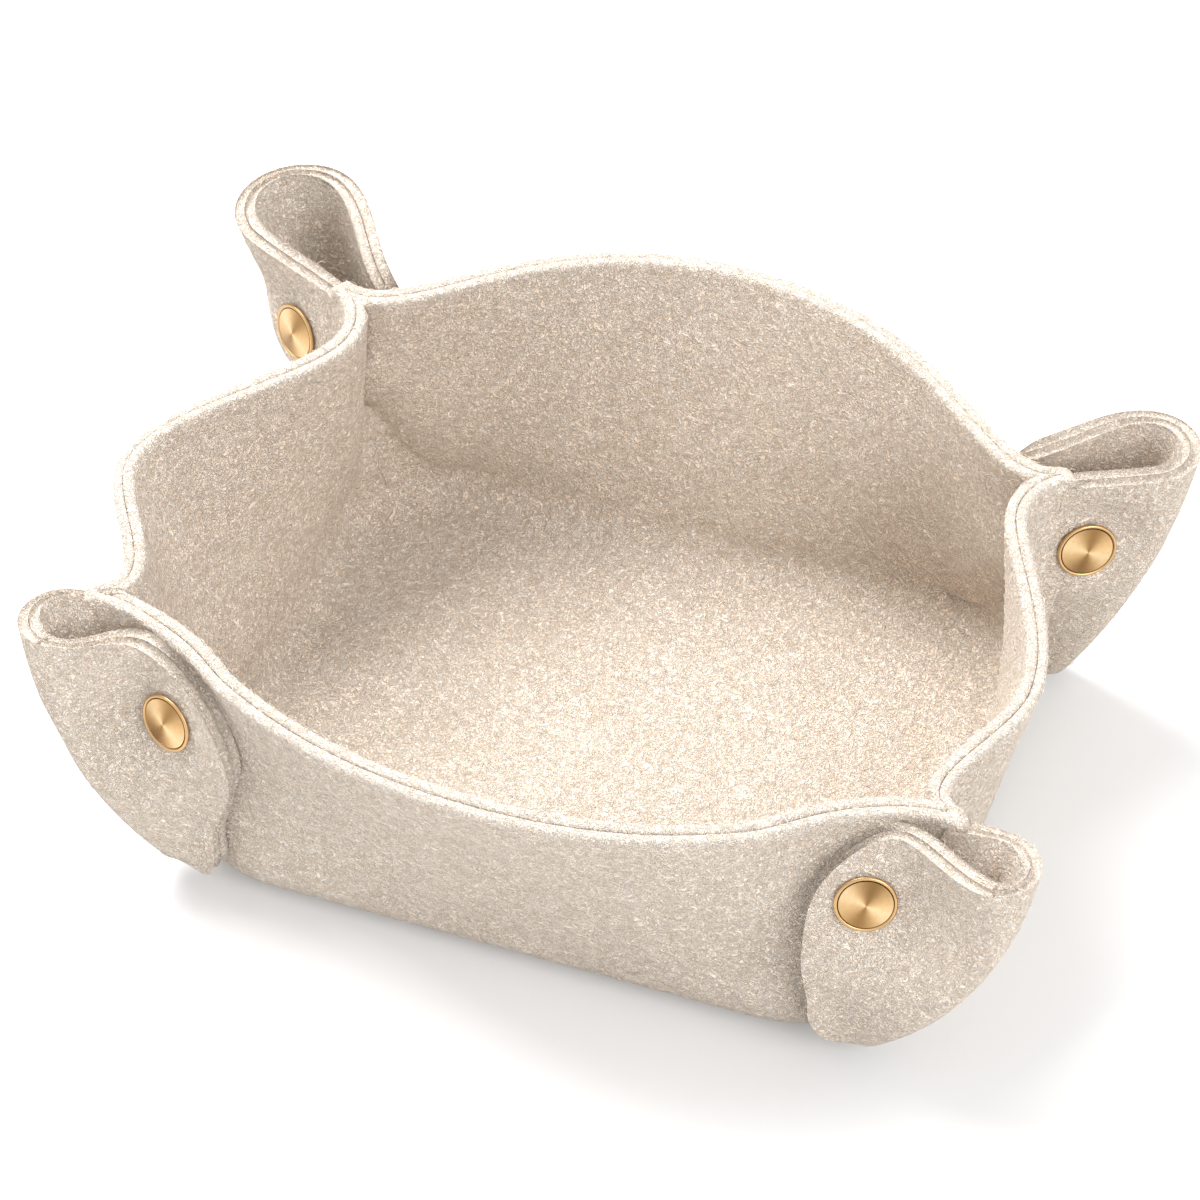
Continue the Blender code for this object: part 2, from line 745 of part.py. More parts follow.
def main():
    for obj in list(bpy.data.objects):
        bpy.data.objects.remove(obj, do_unlink=True)
    shell = add_bowl("felt_shell", 0.0, offset_skin)
    lining = add_bowl("felt_lining", -PLY - GLUE, closed_fold)
    for ply in (shell, lining):
        finish(ply, FELT_COLOR, 0.0, 0.95)
    envelope = add_envelope()
    for corner in CORNERS:
        add_ear(corner, shell, lining, envelope)


main()
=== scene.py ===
"""Looks of the felt desk tray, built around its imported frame.

The felt plies are rebuilt finer than the frame's solids and close to their surfaces, with
rounded cut edges, loose curly fibres and a mottled finish. The snap caps are turned brass.
"""

import logging
import math
from dataclasses import dataclass, field
from enum import Enum
from functools import lru_cache
from typing import Any, Callable, Iterable, Optional, Sequence, Union

import bpy
import numpy as np
from mathutils import Matrix, Vector


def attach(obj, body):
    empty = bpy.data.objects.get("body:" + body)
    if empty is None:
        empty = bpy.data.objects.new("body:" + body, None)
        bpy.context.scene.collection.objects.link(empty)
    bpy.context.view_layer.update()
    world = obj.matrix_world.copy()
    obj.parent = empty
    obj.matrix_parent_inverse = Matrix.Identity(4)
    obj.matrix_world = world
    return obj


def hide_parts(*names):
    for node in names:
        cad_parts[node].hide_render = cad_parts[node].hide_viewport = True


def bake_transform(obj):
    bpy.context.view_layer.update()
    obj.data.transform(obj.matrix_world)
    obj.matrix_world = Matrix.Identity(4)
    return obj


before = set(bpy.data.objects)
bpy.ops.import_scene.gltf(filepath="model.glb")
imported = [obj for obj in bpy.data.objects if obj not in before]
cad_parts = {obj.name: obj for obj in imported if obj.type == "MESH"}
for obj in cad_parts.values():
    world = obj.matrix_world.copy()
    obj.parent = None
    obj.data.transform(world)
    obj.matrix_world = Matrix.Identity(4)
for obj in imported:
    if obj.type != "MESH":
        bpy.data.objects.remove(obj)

LOG = logging.getLogger("felt_tray")
MM = 0.001
CORNERS = ("fr", "br", "bl", "fl")
Array = np.ndarray
Color = tuple[float, float, float, float]
Noise = tuple[float, ...]
Value = Union[float, Sequence[float], "Wire"]
Spans = Callable[[float, float], tuple[float, float]]


class Side(Enum):
    """Front or back half of the tray."""

    FRONT = "front"
    BACK = "back"


class Ply(Enum):
    """The two plies of an ear, by the side of its middle surface that they lie on."""

    OUTER = 1
    INNER = -1


def side_of(corner: str) -> Side:
    """Half of the tray that a corner belongs to."""
    return Side.FRONT if corner[0] == "f" else Side.BACK


def signs(corner: str) -> Array:
    """The corner's outward ways along X and Y."""
    return np.array([1 if corner[1] == "r" else -1, 1 if corner[0] == "b" else -1])


def place_of(corner: str) -> tuple[int, int]:
    """The corner's place round the body, and the way from it to the middle of its long wall."""
    return 2 * CORNERS.index(corner) + 1, int(signs(corner).prod())


def lerp(a: Any, b: Any, t: Any) -> Any:
    """Point a share t of the way from a to b."""
    return a + (b - a) * t


def smooth(t: Any) -> Any:
    """Smooth step from 0 to 1."""
    t = np.clip(t, 0.0, 1.0)
    return t * t * (3 - 2 * t)


def unit(v: Array) -> Array:
    """Vectors of length one."""
    return v / np.linalg.norm(v, axis=-1, keepdims=True)


def run_of(points: Array) -> Array:
    """Length along a polyline at each of its points."""
    return np.concatenate([[0], np.cumsum(np.linalg.norm(np.diff(points, axis=0), axis=1))])


def resample(points: Array, count: int) -> Array:
    """Points at even spacing along a polyline, with its end point left out.

    Args:
        points: the polyline, one point to a row.
        count: how many points are wanted.

    Returns:
        One point to a row.
    """
    run = run_of(points)
    at = np.linspace(0, run[-1], count, endpoint=False)
    return np.stack([np.interp(at, run, points[:, i]) for i in range(points.shape[1])], axis=1)


def along_path(points: Array, runs: Array) -> Array:
    """Points at runs along a polyline, carried straight on past its ends.

    Args:
        points: the polyline, one point to a row.
        runs: lengths along it.

    Returns:
        One point for each run.
    """
    total = run_of(points)
    i = np.clip(np.searchsorted(total, runs), 1, len(points) - 1)
    share = (runs - total[i - 1]) / (total[i] - total[i - 1])
    return lerp(points[i - 1], points[i], share[:, None])


def heading(degrees: float) -> Array:
    """Unit vector in plan at an angle from the long axis."""
    return np.array([math.cos(math.radians(degrees)), math.sin(math.radians(degrees))])


def arc(centre: Array, radius: float, start: float, end: float, count: int = 24) -> Array:
    """Points of a circular arc in plan, angles in degrees."""
    turn = np.radians(np.linspace(start, end, count))
    return np.stack([centre[0] + radius * np.cos(turn), centre[1] + radius * np.sin(turn)], axis=1)


def bezier(start: Array, start_pull: Array, end: Array, end_pull: Array, count: int) -> Array:
    """Points of a cubic curve that leaves along start_pull and arrives along end_pull.

    Args:
        start: first point.
        start_pull: from the first point to its handle.
        end: last point.
        end_pull: from the last point's handle to it.
        count: how many points are wanted.

    Returns:
        One point to a row.
    """
    t = np.linspace(0, 1, count)[:, None]
    a, b = start + start_pull, end - end_pull
    return (1 - t) ** 3 * start + 3 * (1 - t) ** 2 * t * a + 3 * (1 - t) * t**2 * b + t**3 * end


@dataclass(frozen=True)
class Felt:
    """Thickness of the felt and the gaps round it, in millimetres."""

    ply: float = 1.84
    bond: float = 0.08
    glue: float = 0.36
    rest: float = 0.4
    edge_round: float = 0.95
    edge_steps: int = 8
    groove: float = 0.5
    groove_steps: int = 6

    @property
    def two(self) -> float:
        """Thickness of two bonded plies."""
        return 2 * self.ply + self.bond


FELT = Felt()


def by_side(front: float, back: float) -> Any:
    """Dataclass field with one value for each half of the tray."""
    return field(default_factory=lambda: {Side.FRONT: front, Side.BACK: back})


def by_name(**values: Any) -> Any:
    """Dataclass field with one value for each named wall or corner."""
    return field(default_factory=lambda: values)


@dataclass
class TrayForm:
    """Outer skin of the tray's body, in millimetres.

    A place q runs from 0 to 8 round the body, with the wall middles at even and the corners at
    odd values. A level is -1 at the base plane, 0 above the foot's rounding and 1 at the rim.
    """

    base_half: tuple[float, float] = (66.5, 52.0)
    base_corner: float = 24.0
    foot_radius: float = 10.0
    bow: dict = by_name(front=13.8, back=13.8, left=17.0, right=10.5)
    side_middle_y: float = -12.0
    long_pull: tuple[float, float] = (0.62, 0.2)
    side_pull: tuple[float, float] = (0.38, 0.29)
    pinch_out: dict = by_name(fl=11.0, fr=5.5, bl=-4.5, br=-0.5)
    pinch_in: dict = by_name(fl=15.5, fr=15.5, bl=11.8, br=14.0)
    pinch_slot: float = 0.6
    stem_play: float = -0.1
    fold_power: dict = by_side(1.0, 2.2)
    pinch_lip: dict = by_side(3.5, 9.0)
    stub_drop: float = 1.3
    lip_heading: dict = by_side(95.0, 110.0)
    rim_front: float = 54.0
    rim_back: float = 56.5
    rim_corner: dict = by_side(52.0, 57.0)
    fin_turn: dict = by_side(8.0, 30.0)
    snap_places: dict = by_name(fl=(0.27, 0.66), fr=(0.225, 0.65))
    snap_lean: float = 0.2
    fold_seats: dict = by_name(bl=(71.8, 38.3, 43.7), br=(71.3, 37.0, 40.2))
    fold_axis: tuple[float, float, float] = (0.54, -0.837, 0.18)
    snap_flat: float = 5.6
    snap_fade: dict = by_name(fl=18.0, fr=23.0, bl=15.0, br=15.0)
    samples: int = 240
    fold_end: float = 0.055
    pinch_share: float = 0.15
    fold_round: float = 0.033
    fold_span: float = 0.8
    crease_round: float = 1.8
    cross_share: float = 0.985
    flare_power: float = 1.1
    flare_fade: float = 0.3
    snap_reach: float = 0.6
    place_step: float = 0.015
    level_step: float = 0.02
    curve_points: int = 200

    def __post_init__(self) -> None:
        """Works out the outlines and the planes of the snaps."""
        self.stem = (FELT.two + self.stem_play) / 2
        self.inner_ring = self.ring(lambda wall, corner: self.base_outline(wall, corner, self.foot_radius))
        self.base_ring = self.ring(lambda wall, corner: self.base_outline(wall, corner, 0.0))
        self.rim_ring = self.ring(self.rim_outline)
        self.snap_planes = {corner: self.snap_plane(corner) for corner in CORNERS}

    def base_outline(self, wall: str, corner: str, inset: float) -> Array:
        """Base outline from the middle of a wall to the middle of its corner, in outward axes.

        Args:
            wall: the wall's name.
            corner: the corner's name.
            inset: distance inside the base's own outline.

        Returns:
            Points in plan.
        """
        half_x, half_y = (half - inset for half in self.base_half)
        radius = self.base_corner - inset
        centre = (half_x - radius, half_y - radius)
        if wall in ("front", "back"):
            points = np.vstack([[0.0, half_y], arc(centre, radius, 90, 45)])
        else:
            start_y = self.side_middle_y * signs(corner)[1]
            points = np.vstack([[half_x, start_y], arc(centre, radius, 0, 45)])
        return np.vstack([resample(points, self.samples), points[-1]])

    def rim_outline(self, wall: str, corner: str) -> Array:
        """Rim outline from the middle of a wall round to the end of its pinched corner.

        The fold is drawn together to one sheet's thickness, in line with the wall that runs on
        into the ear: the front wall at a front corner, the side wall at a back one.

        Args:
            wall: the wall's name.
            corner: the corner's name.

        Returns:
            Points in plan, in the corner's outward axes.
        """
        side = side_of(corner)
        turn = self.fin_turn[side]
        shift = FELT.two + self.pinch_slot / 2 - self.stem
        across = heading(turn + 90) * (shift if side is Side.FRONT else -shift)
        end_x = self.base_half[0] + self.pinch_out[corner]
        end_y = self.base_half[1] - self.pinch_in[corner]
        pinch = across + (end_x, end_y)
        if wall in ("front", "back"):
            start = np.array([0.0, self.base_half[1] + self.bow[wall]])
            mouth = pinch + self.stem * heading(turn + 90)
            leave, arrive = (mouth[0] * share for share in self.long_pull)
            wall_line = bezier(start, leave * heading(0), mouth, arrive * heading(turn), self.curve_points)
            fold = arc(pinch, self.stem, turn + 90, turn)
        else:
            start = np.array([self.base_half[0] + self.bow[wall], self.side_middle_y * signs(corner)[1]])
            lip, lip_turn = self.pinch_lip[side], self.lip_heading[side]
            centre = pinch + (self.stem + lip) * heading(turn - 90)
            turn_in = arc(centre, lip, lip_turn + 90, turn + 90)
            leave, arrive = ((turn_in[0, 1] - start[1]) * share for share in self.side_pull)
            ends = (start, leave * heading(90), turn_in[0], arrive * heading(lip_turn))
            wall_line = np.vstack([bezier(*ends, self.curve_points), turn_in[1:]])
            fold = arc(pinch, self.stem, turn - 90, turn)
        count = round(self.samples * (1 - self.pinch_share))
        fold = np.vstack([wall_line[-1], fold])
        return np.vstack([resample(wall_line, count), resample(fold, self.samples - count), fold[-1]])

    def ring(self, outline: Callable[[str, str], Array]) -> Array:
        """Closed outline, counter-clockwise from the middle of the front wall.

        Args:
            outline: gives the points from a wall's middle to a corner, in outward axes.

        Returns:
            Points in plan.
        """
        halves = (
            ("front", "fr", 1), ("right", "fr", -1), ("right", "br", 1), ("back", "br", -1),
            ("back", "bl", 1), ("left", "bl", -1), ("left", "fl", 1), ("front", "fl", -1),
        )
        parts = []
        for wall, corner, way in halves:
            points = outline(wall, corner) * signs(corner)
            parts.append(points[:-1] if way > 0 else points[:0:-1])
        return np.vstack(parts)

    def on_ring(self, ring: Array, q: Array) -> Array:
        """Points of an outline at places q.

        Args:
            ring: the closed outline.
            q: the places.

        Returns:
            One point for each place.
        """
        place = (q % 8) * self.samples
        first = np.floor(place).astype(int)
        share = (place - first)[..., None]
        return lerp(ring[first % len(ring)], ring[(first + 1) % len(ring)], share)

    def is_back(self, q: Array) -> Array:
        """Whether places q lie on the back half."""
        return (q % 8 >= 2) & (q % 8 <= 6)

    def rim_height(self, q: Array) -> Array:
        """Height of the rim at places q.

        Args:
            q: the places.

        Returns:
            One height for each place.
        """
        corner = np.where(self.is_back(q), self.rim_corner[Side.BACK], self.rim_corner[Side.FRONT])
        middle = lerp(self.rim_front, self.rim_back, np.sin(math.pi * q / 8) ** 2)
        stub = 1 - smooth(np.abs(q % 2 - 1) / self.pinch_share)
        return lerp(middle, corner, np.sin(math.pi * q / 2) ** 2) - self.stub_drop * stub

    def soft_skin(self, q: Array, level: Array) -> Array:
        """Outer skin of the body before the snaps press it flat.

        Args:
            q: places round the body.
            level: levels, of a shape that goes with the places.

        Returns:
            The points.
        """
        q, level = np.broadcast_arrays(np.asarray(q, float), np.asarray(level, float))
        turn = np.clip(1 + level, 0, 1) * math.pi / 2
        base = self.on_ring(self.base_ring, q)
        foot = lerp(self.on_ring(self.inner_ring, q), base, np.sin(turn)[..., None])
        up = np.clip(level, 0.0, None)
        rim = self.on_ring(self.rim_ring, q)
        power = np.where(self.is_back(q), self.fold_power[Side.BACK], self.fold_power[Side.FRONT])
        fold = 1 - np.clip(1 - up, 0, None) ** power
        from_fold = smooth((np.abs(q % 2 - 1) - self.pinch_share) / self.flare_fade)
        flare = lerp(fold, up**self.flare_power, from_fold)
        wall = lerp(base, rim, flare[..., None])
        foot_height = self.foot_radius * (1 - np.cos(turn))
        wall_height = lerp(self.foot_radius, self.rim_height(q), up)
        height = np.where(level < 0, foot_height, wall_height)
        plan = np.where((level < 0)[..., None], foot, wall)
        return np.concatenate([plan, height[..., None]], axis=-1)

    def normal_of(self, surface: Callable[[Array, Array], Array], q: Array, level: Array) -> Array:
        """Outward normals of a surface of the body.

        Args:
            surface: gives the surface's points at places and levels.
            q: the places.
            level: the levels.

        Returns:
            One unit vector for each point.
        """
        q, level = np.broadcast_arrays(np.asarray(q, float), np.asarray(level, float))
        along = surface(q + self.place_step, level) - surface(q - self.place_step, level)
        up = surface(q, level + self.level_step) - surface(q, level - self.level_step)
        return unit(np.cross(along, up))

    def press(self, points: Array, corner: str, sink: Any) -> Array:
        """Points near the place of a snap, pressed on to a plane there.

        Args:
            points: the points.
            corner: the snap's corner.
            sink: depth of the plane below the body's skin at the snap.

        Returns:
            The points, moved less the farther they lie from the snap.
        """
        plane, axis = self.snap_planes[corner]
        off = points - plane
        depth = off @ axis
        spread = np.linalg.norm(off - depth[..., None] * axis, axis=-1)
        fade = smooth((spread - self.snap_flat) / (self.snap_fade[corner] - self.snap_flat))
        return points - ((depth + sink) * (1 - fade))[..., None] * axis

    def snap_plane(self, corner: str) -> tuple[Array, Array]:
        """Middle of the cap's seat on the felt, and the way that the cap faces.

        Args:
            corner: the snap's corner.

        Returns:
            The point and the unit vector.
        """
        if side_of(corner) is Side.BACK:
            flip = np.append(signs(corner), 1)
            return self.fold_seats[corner] * flip, unit(np.array(self.fold_axis)) * flip
        q, toward = place_of(corner)
        share, level = self.snap_places[corner]
        place = q + toward * share
        axis = self.normal_of(self.soft_skin, place, level)
        return self.soft_skin(place, level), unit(axis + (0.0, 0.0, self.snap_lean))

    def skin(self, q: Array, level: Array) -> Array:
        """Outer skin of the body, pressed flat where a snap goes through it.

        Args:
            q: places round the body.
            level: levels, of a shape that goes with the places.

        Returns:
            The points.
        """
        q, level = np.broadcast_arrays(np.asarray(q, float), np.asarray(level, float))
        point = self.soft_skin(q, level)
        for corner in CORNERS:
            centre, toward = place_of(corner)
            place = ((q - centre + 4) % 8 - 4) * toward
            if side_of(corner) is Side.FRONT:
                sink = 0.0
                hold = smooth(place / self.fold_end) * (place <= self.snap_reach) * (level >= 0)
            else:
                round_fold = np.clip(place / self.fold_round, -1, 1) * math.pi / 2
                sink = self.stem * (1 + np.sin(round_fold))
                hold = (1 - smooth((np.abs(place) - self.pinch_share) / self.pinch_share)) * (level >= 0)
            point = lerp(point, self.press(point, corner, sink), hold[..., None])
        return point

    def offset(self, q: Array, level: Array, lift: float) -> Array:
        """Points lift outside the body's skin."""
        return self.skin(q, level) + self.normal_of(self.skin, q, level) * lift

    def inside(self, q: Array, level: Array, lift: float) -> Array:
        """Points of an inner face, with what crosses itself in a fold cut off.

        Args:
            q: one row of places.
            level: one column of levels.
            lift: distance outside the skin, so a negative one.

        Returns:
            A grid of points.
        """
        skin, points = self.skin(q, level), self.offset(q, level, lift)
        for corner in CORNERS:
            near = np.flatnonzero(np.abs(q[0] - place_of(corner)[0]) < self.fold_span)
            for row, outer in zip(points, skin):
                row[near] = self.uncross(row[near], outer[near], -lift)
        return points

    def uncross(self, inner: Array, outer: Array, depth: float) -> Array:
        """One row of an inner face, with the stretch nearer than depth to the skin rounded off.

        Args:
            inner: points of the row, which are changed.
            outer: points of the skin at the same level.
            depth: distance of the inner face from the skin.

        Returns:
            The row.
        """
        gap = np.linalg.norm(inner[:, None] - outer[None], axis=-1).min(axis=1)
        crossed = np.flatnonzero(gap < depth * self.cross_share)
        if not len(crossed):
            return inner
        first, last = crossed[0], crossed[-1]
        run = run_of(inner)
        start = int(np.searchsorted(run, run[first] - self.crease_round))
        end = min(int(np.searchsorted(run, run[last] + self.crease_round)), len(inner) - 1)
        knee = (inner[first] + inner[last]) / 2
        t = np.linspace(0, 1, end - start + 1)[:, None]
        inner[start : end + 1] = (1 - t) ** 2 * inner[start] + 2 * (1 - t) * t * knee + t**2 * inner[end]
        return inner


@dataclass(eq=False)
class Ear:
    """Middle surface of one corner's fin and flap, in the corner's outward axes."""

    form: TrayForm
    corner: str
    foot_roll: dict = by_name(
        fl=(-5.5, -6.8, 6.5), fr=(-5.5, -6.8, 6.5), bl=(-5.5, -6.8, 6.5), br=(-2.0, -10.0, 4.0)
    )
    rim_roll: dict = by_name(
        fl=(14.0, -12.5, 0.0), fr=(14.0, -12.5, 0.0), bl=(14.0, -9.2, 3.5), br=(15.0, -9.2, -1.0)
    )
    fin_turn_low: float = 4.0
    roll_low: float = 4.4
    roll_high: dict = by_name(fl=11.5, fr=11.5, bl=19.5, br=13.5)
    belly: dict = by_name(fl=(1.7, 4.2, 0.0), fr=(4.3, 3.6, 0.0), bl=(0.0, 0.0, 0.0), br=(2.4, -0.7, 0.0))
    foot_level: float = -0.25
    landing: tuple[float, float] = (0.15, 0.3)
    landing_level: float = 0.5
    wall_end: float = 0.5
    flap_end_in: float = 14.5
    flap_round_x: float = 13.0
    flap_round_z: float = 20.0
    foot_round: float = 7.0
    edge_belly: dict = by_name(fl=5.0, fr=1.6, bl=0.0, br=0.0)
    toe: dict = by_name(fl=2.0, fr=0.0, bl=0.0, br=0.0)
    belly_power: float = 1.45
    toe_height: float = 0.25
    root_depth: float = 3.0
    bridge_pull: float = 0.4
    curve_points: int = 40
    roll_points: int = 28
    wall_points: int = 60
    row_step: float = 0.02
    run_step: float = 0.4

    def __post_init__(self) -> None:
        """Places the roll and the snap's seat."""
        side = side_of(self.corner)
        base = np.array([*self.form.base_half, 0.0])
        self.front = side is Side.FRONT
        self.flip = np.array([*signs(self.corner), 1.0])
        self.q, self.toward = place_of(self.corner)
        self.low = base + self.foot_roll[self.corner]
        self.high = base + self.rim_roll[self.corner] + np.array([0.0, 0.0, self.form.rim_corner[side]])
        self.turn_high = self.form.fin_turn[side]
        plane, axis = self.form.snap_planes[self.corner]
        self.axis = axis * self.flip
        self.seat = plane * self.flip
        self.sink = FELT.two / 2
        if self.front:
            self.seat = self.seat + self.axis * (FELT.rest + FELT.two)
            self.sink = -FELT.rest - FELT.two / 2

    def body(self, q: Array, level: float, lift: float) -> Array:
        """Points lift outside the tray's skin, in the corner's axes."""
        return self.form.offset(q, level, lift) * self.flip

    def level(self, row: float) -> float:
        """Level of the body at a row of the ear."""
        return lerp(self.foot_level, 1.0, row)

    @lru_cache(maxsize=None)
    def rise(self, row: float) -> float:
        """Share of the ear's height at a row."""
        foot, here, rim = (self.form.soft_skin(self.q, self.level(r))[2] for r in (0.0, row, 1.0))
        return (here - foot) / (rim - foot)

    def fin_end(self, row: float) -> Array:
        """Point where the roll starts, on a line that swells out at half height."""
        rise = self.rise(row)
        return lerp(self.low, self.high, rise) + np.array(self.belly[self.corner]) * 4 * rise * (1 - rise)

    def roll(self, row: float) -> float:
        """Width of the roll."""
        return lerp(self.roll_low, self.roll_high[self.corner], self.rise(row))

    def turn(self, row: float) -> float:
        """Heading of the fin out from the long axis, in radians."""
        return math.radians(lerp(self.fin_turn_low, self.turn_high, self.rise(row)))

    def heading(self, row: float) -> tuple[Array, Array]:
        """The fin's heading as it meets the roll, and the way across the roll.

        Args:
            row: the row of the ear.

        Returns:
            Two unit vectors.
        """
        turn = self.turn(row)
        out = np.array([math.cos(turn), math.sin(turn), 0.0])
        return out, np.array([-out[1], out[0], 0.0])

    def quarter(self, row: float, start: float, end: float) -> Array:
        """Part of the roll between two angles from the fin's end.

        Args:
            row: the row of the ear.
            start: first angle in radians.
            end: last angle in radians.

        Returns:
            One point to a row.
        """
        out, across = self.heading(row)
        radius = self.roll(row) / 2
        turn = np.linspace(start, end, self.roll_points)[:, None]
        return self.fin_end(row) + radius * (across + np.sin(turn) * out - np.cos(turn) * across)

    @lru_cache(maxsize=None)
    def fin_path(self, row: float) -> Array:
        """From inside the tray's corner out to the tip line.

        Args:
            row: the row of the ear.

        Returns:
            Points along the row, in the corner's axes.
        """
        level = self.level(row)
        out, _ = self.heading(row)
        skin = self.form.soft_skin
        inward = -self.root_depth * self.form.normal_of(skin, self.q, level)
        root = (skin(self.q, level) + inward) * self.flip
        end = self.fin_end(row)
        pull = out * np.linalg.norm(end - root) / 3
        straight = bezier(root, pull, end, pull, self.curve_points)
        path = np.vstack([straight, self.quarter(row, 0, math.pi / 2)[1:]])
        if self.front:
            return path
        return self.form.press(path * self.flip, self.corner, self.sink) * self.flip

    @lru_cache(maxsize=None)
    def flap_path(self, row: float) -> Array:
        """From the tip line round the roll and on along the wall.

        Args:
            row: the row of the ear.

        Returns:
            Points along the row, in the corner's axes.
        """
        level = self.level(row)
        lift = (FELT.rest if self.front else FELT.glue) + FELT.two / 2
        landing = lerp(*self.landing, smooth(level / self.landing_level))
        share = np.linspace(landing, self.wall_end, self.wall_points)
        wall = self.body(self.q + self.toward * share, level, lift)
        turn = self.quarter(row, math.pi / 2, math.pi - self.turn(row))
        reach = np.linalg.norm(wall[0] - turn[-1]) * self.bridge_pull
        inward = np.array([-reach, 0.0, 0.0])
        bridge = bezier(turn[-1], inward, wall[0], unit(wall[1] - wall[0]) * reach, self.curve_points)
        path = np.vstack([turn, bridge[1:], wall[1:]])
        if not self.front:
            return path
        return self.form.press(path * self.flip, self.corner, self.sink) * self.flip

    def path(self, row: float) -> Array:
        """The fin and the flap in one."""
        return np.vstack([self.fin_path(row), self.flap_path(row)[1:]])

    def flap_end(self, row: float) -> float:
        """Free edge of the flap along the long axis, rounded at both of its corners.

        Args:
            row: the row of the ear.

        Returns:
            The edge's distance from the tray's middle.
        """
        edge = self.form.base_half[0] - self.flap_end_in
        levels = (self.foot_level, self.level(row), 1.0)
        foot, here, top = (self.form.skin(self.q, level)[2] for level in levels)
        height = (here - foot) / (top - foot)
        edge -= self.edge_belly[self.corner] * math.sin(math.pi * height**self.belly_power) ** 2
        edge -= self.toe[self.corner] * (1 - smooth(height / self.toe_height))
        below = (top - here) / self.flap_round_z
        above = (here - foot) / self.foot_round
        for share, size in ((below, self.flap_round_x), (above, self.foot_round)):
            if share < 1:
                edge += size * (1 - math.sqrt(max(0.0, 1 - (1 - share) ** 2)))
        return edge

    def runs(self, row: float) -> tuple[float, float]:
        """Length of the path up to the tip line, and from there to the free edge.

        Args:
            row: the row of the ear.

        Returns:
            The two lengths.
        """
        flap = self.flap_path(row)
        run = run_of(flap)
        end = self.flap_end(row)
        past = int(np.argmax((flap[:, 0] < end) & (run > self.roll(row))))
        share = (flap[past - 1, 0] - end) / (flap[past - 1, 0] - flap[past, 0])
        return run_of(self.fin_path(row))[-1], lerp(run[past - 1], run[past], share)

    def sheets(self, rows: Array, spans: Spans, count: int, lifts: Sequence[float]) -> list[Array]:
        """Grids of points of the ear's surface, moved along its normal.

        Args:
            rows: rows of the ear, from 0 at the foot to 1 at the rim.
            spans: gives the first and last run of a row from its two lengths.
            count: points along a row.
            lifts: one grid is made for each lift.

        Returns:
            The grids, in the tray's own axes.
        """
        grids = [[] for _ in lifts]
        for row in map(float, rows):
            low, here, high = (self.path(r) for r in (row - self.row_step, row, row + self.row_step))
            runs = np.linspace(*spans(*self.runs(row)), count)
            along = along_path(here, runs + self.run_step) - along_path(here, runs - self.run_step)
            rise = along_path(high, runs) - along_path(low, runs)
            normal = unit(np.cross(along, rise))
            for grid, lift in zip(grids, lifts):
                grid.append((along_path(here, runs) + normal * lift) * self.flip)
        return [np.array(grid) for grid in grids]


class Wire:
    """A shader socket that takes part in Python arithmetic."""

    def __init__(self, graph: "Graph", socket: Any) -> None:
        """Wraps an output socket of a graph."""
        self.graph = graph
        self.socket = socket

    def math(self, operation: str, *values: Value) -> "Wire":
        """Adds a Math node with this socket as its first value."""
        inputs = {i: value for i, value in enumerate((self, *values))}
        return self.graph.node("ShaderNodeMath", {"operation": operation}, inputs)

    def __add__(self, other: Value) -> "Wire":
        """Sum."""
        return self.math("ADD", other)

    __radd__ = __add__

    def __mul__(self, other: Value) -> "Wire":
        """Product."""
        return self.math("MULTIPLY", other)

    __rmul__ = __mul__

    def __sub__(self, other: Value) -> "Wire":
        """Difference."""
        return self.math("SUBTRACT", other)

    def __rsub__(self, other: Value) -> "Wire":
        """Difference from a number."""
        return self * -1.0 + other

    def __abs__(self) -> "Wire":
        """Size without sign."""
        return self.math("ABSOLUTE")

    def ramp(self, low: float, high: float) -> "Wire":
        """Smooth step from 0 at low to 1 at high.

        Args:
            low: value that gives 0.
            high: value that gives 1.

        Returns:
            The step.
        """
        settings = {"interpolation_type": "SMOOTHSTEP"}
        inputs = {"Value": self, "From Min": low, "From Max": high}
        return self.graph.node("ShaderNodeMapRange", settings, inputs)


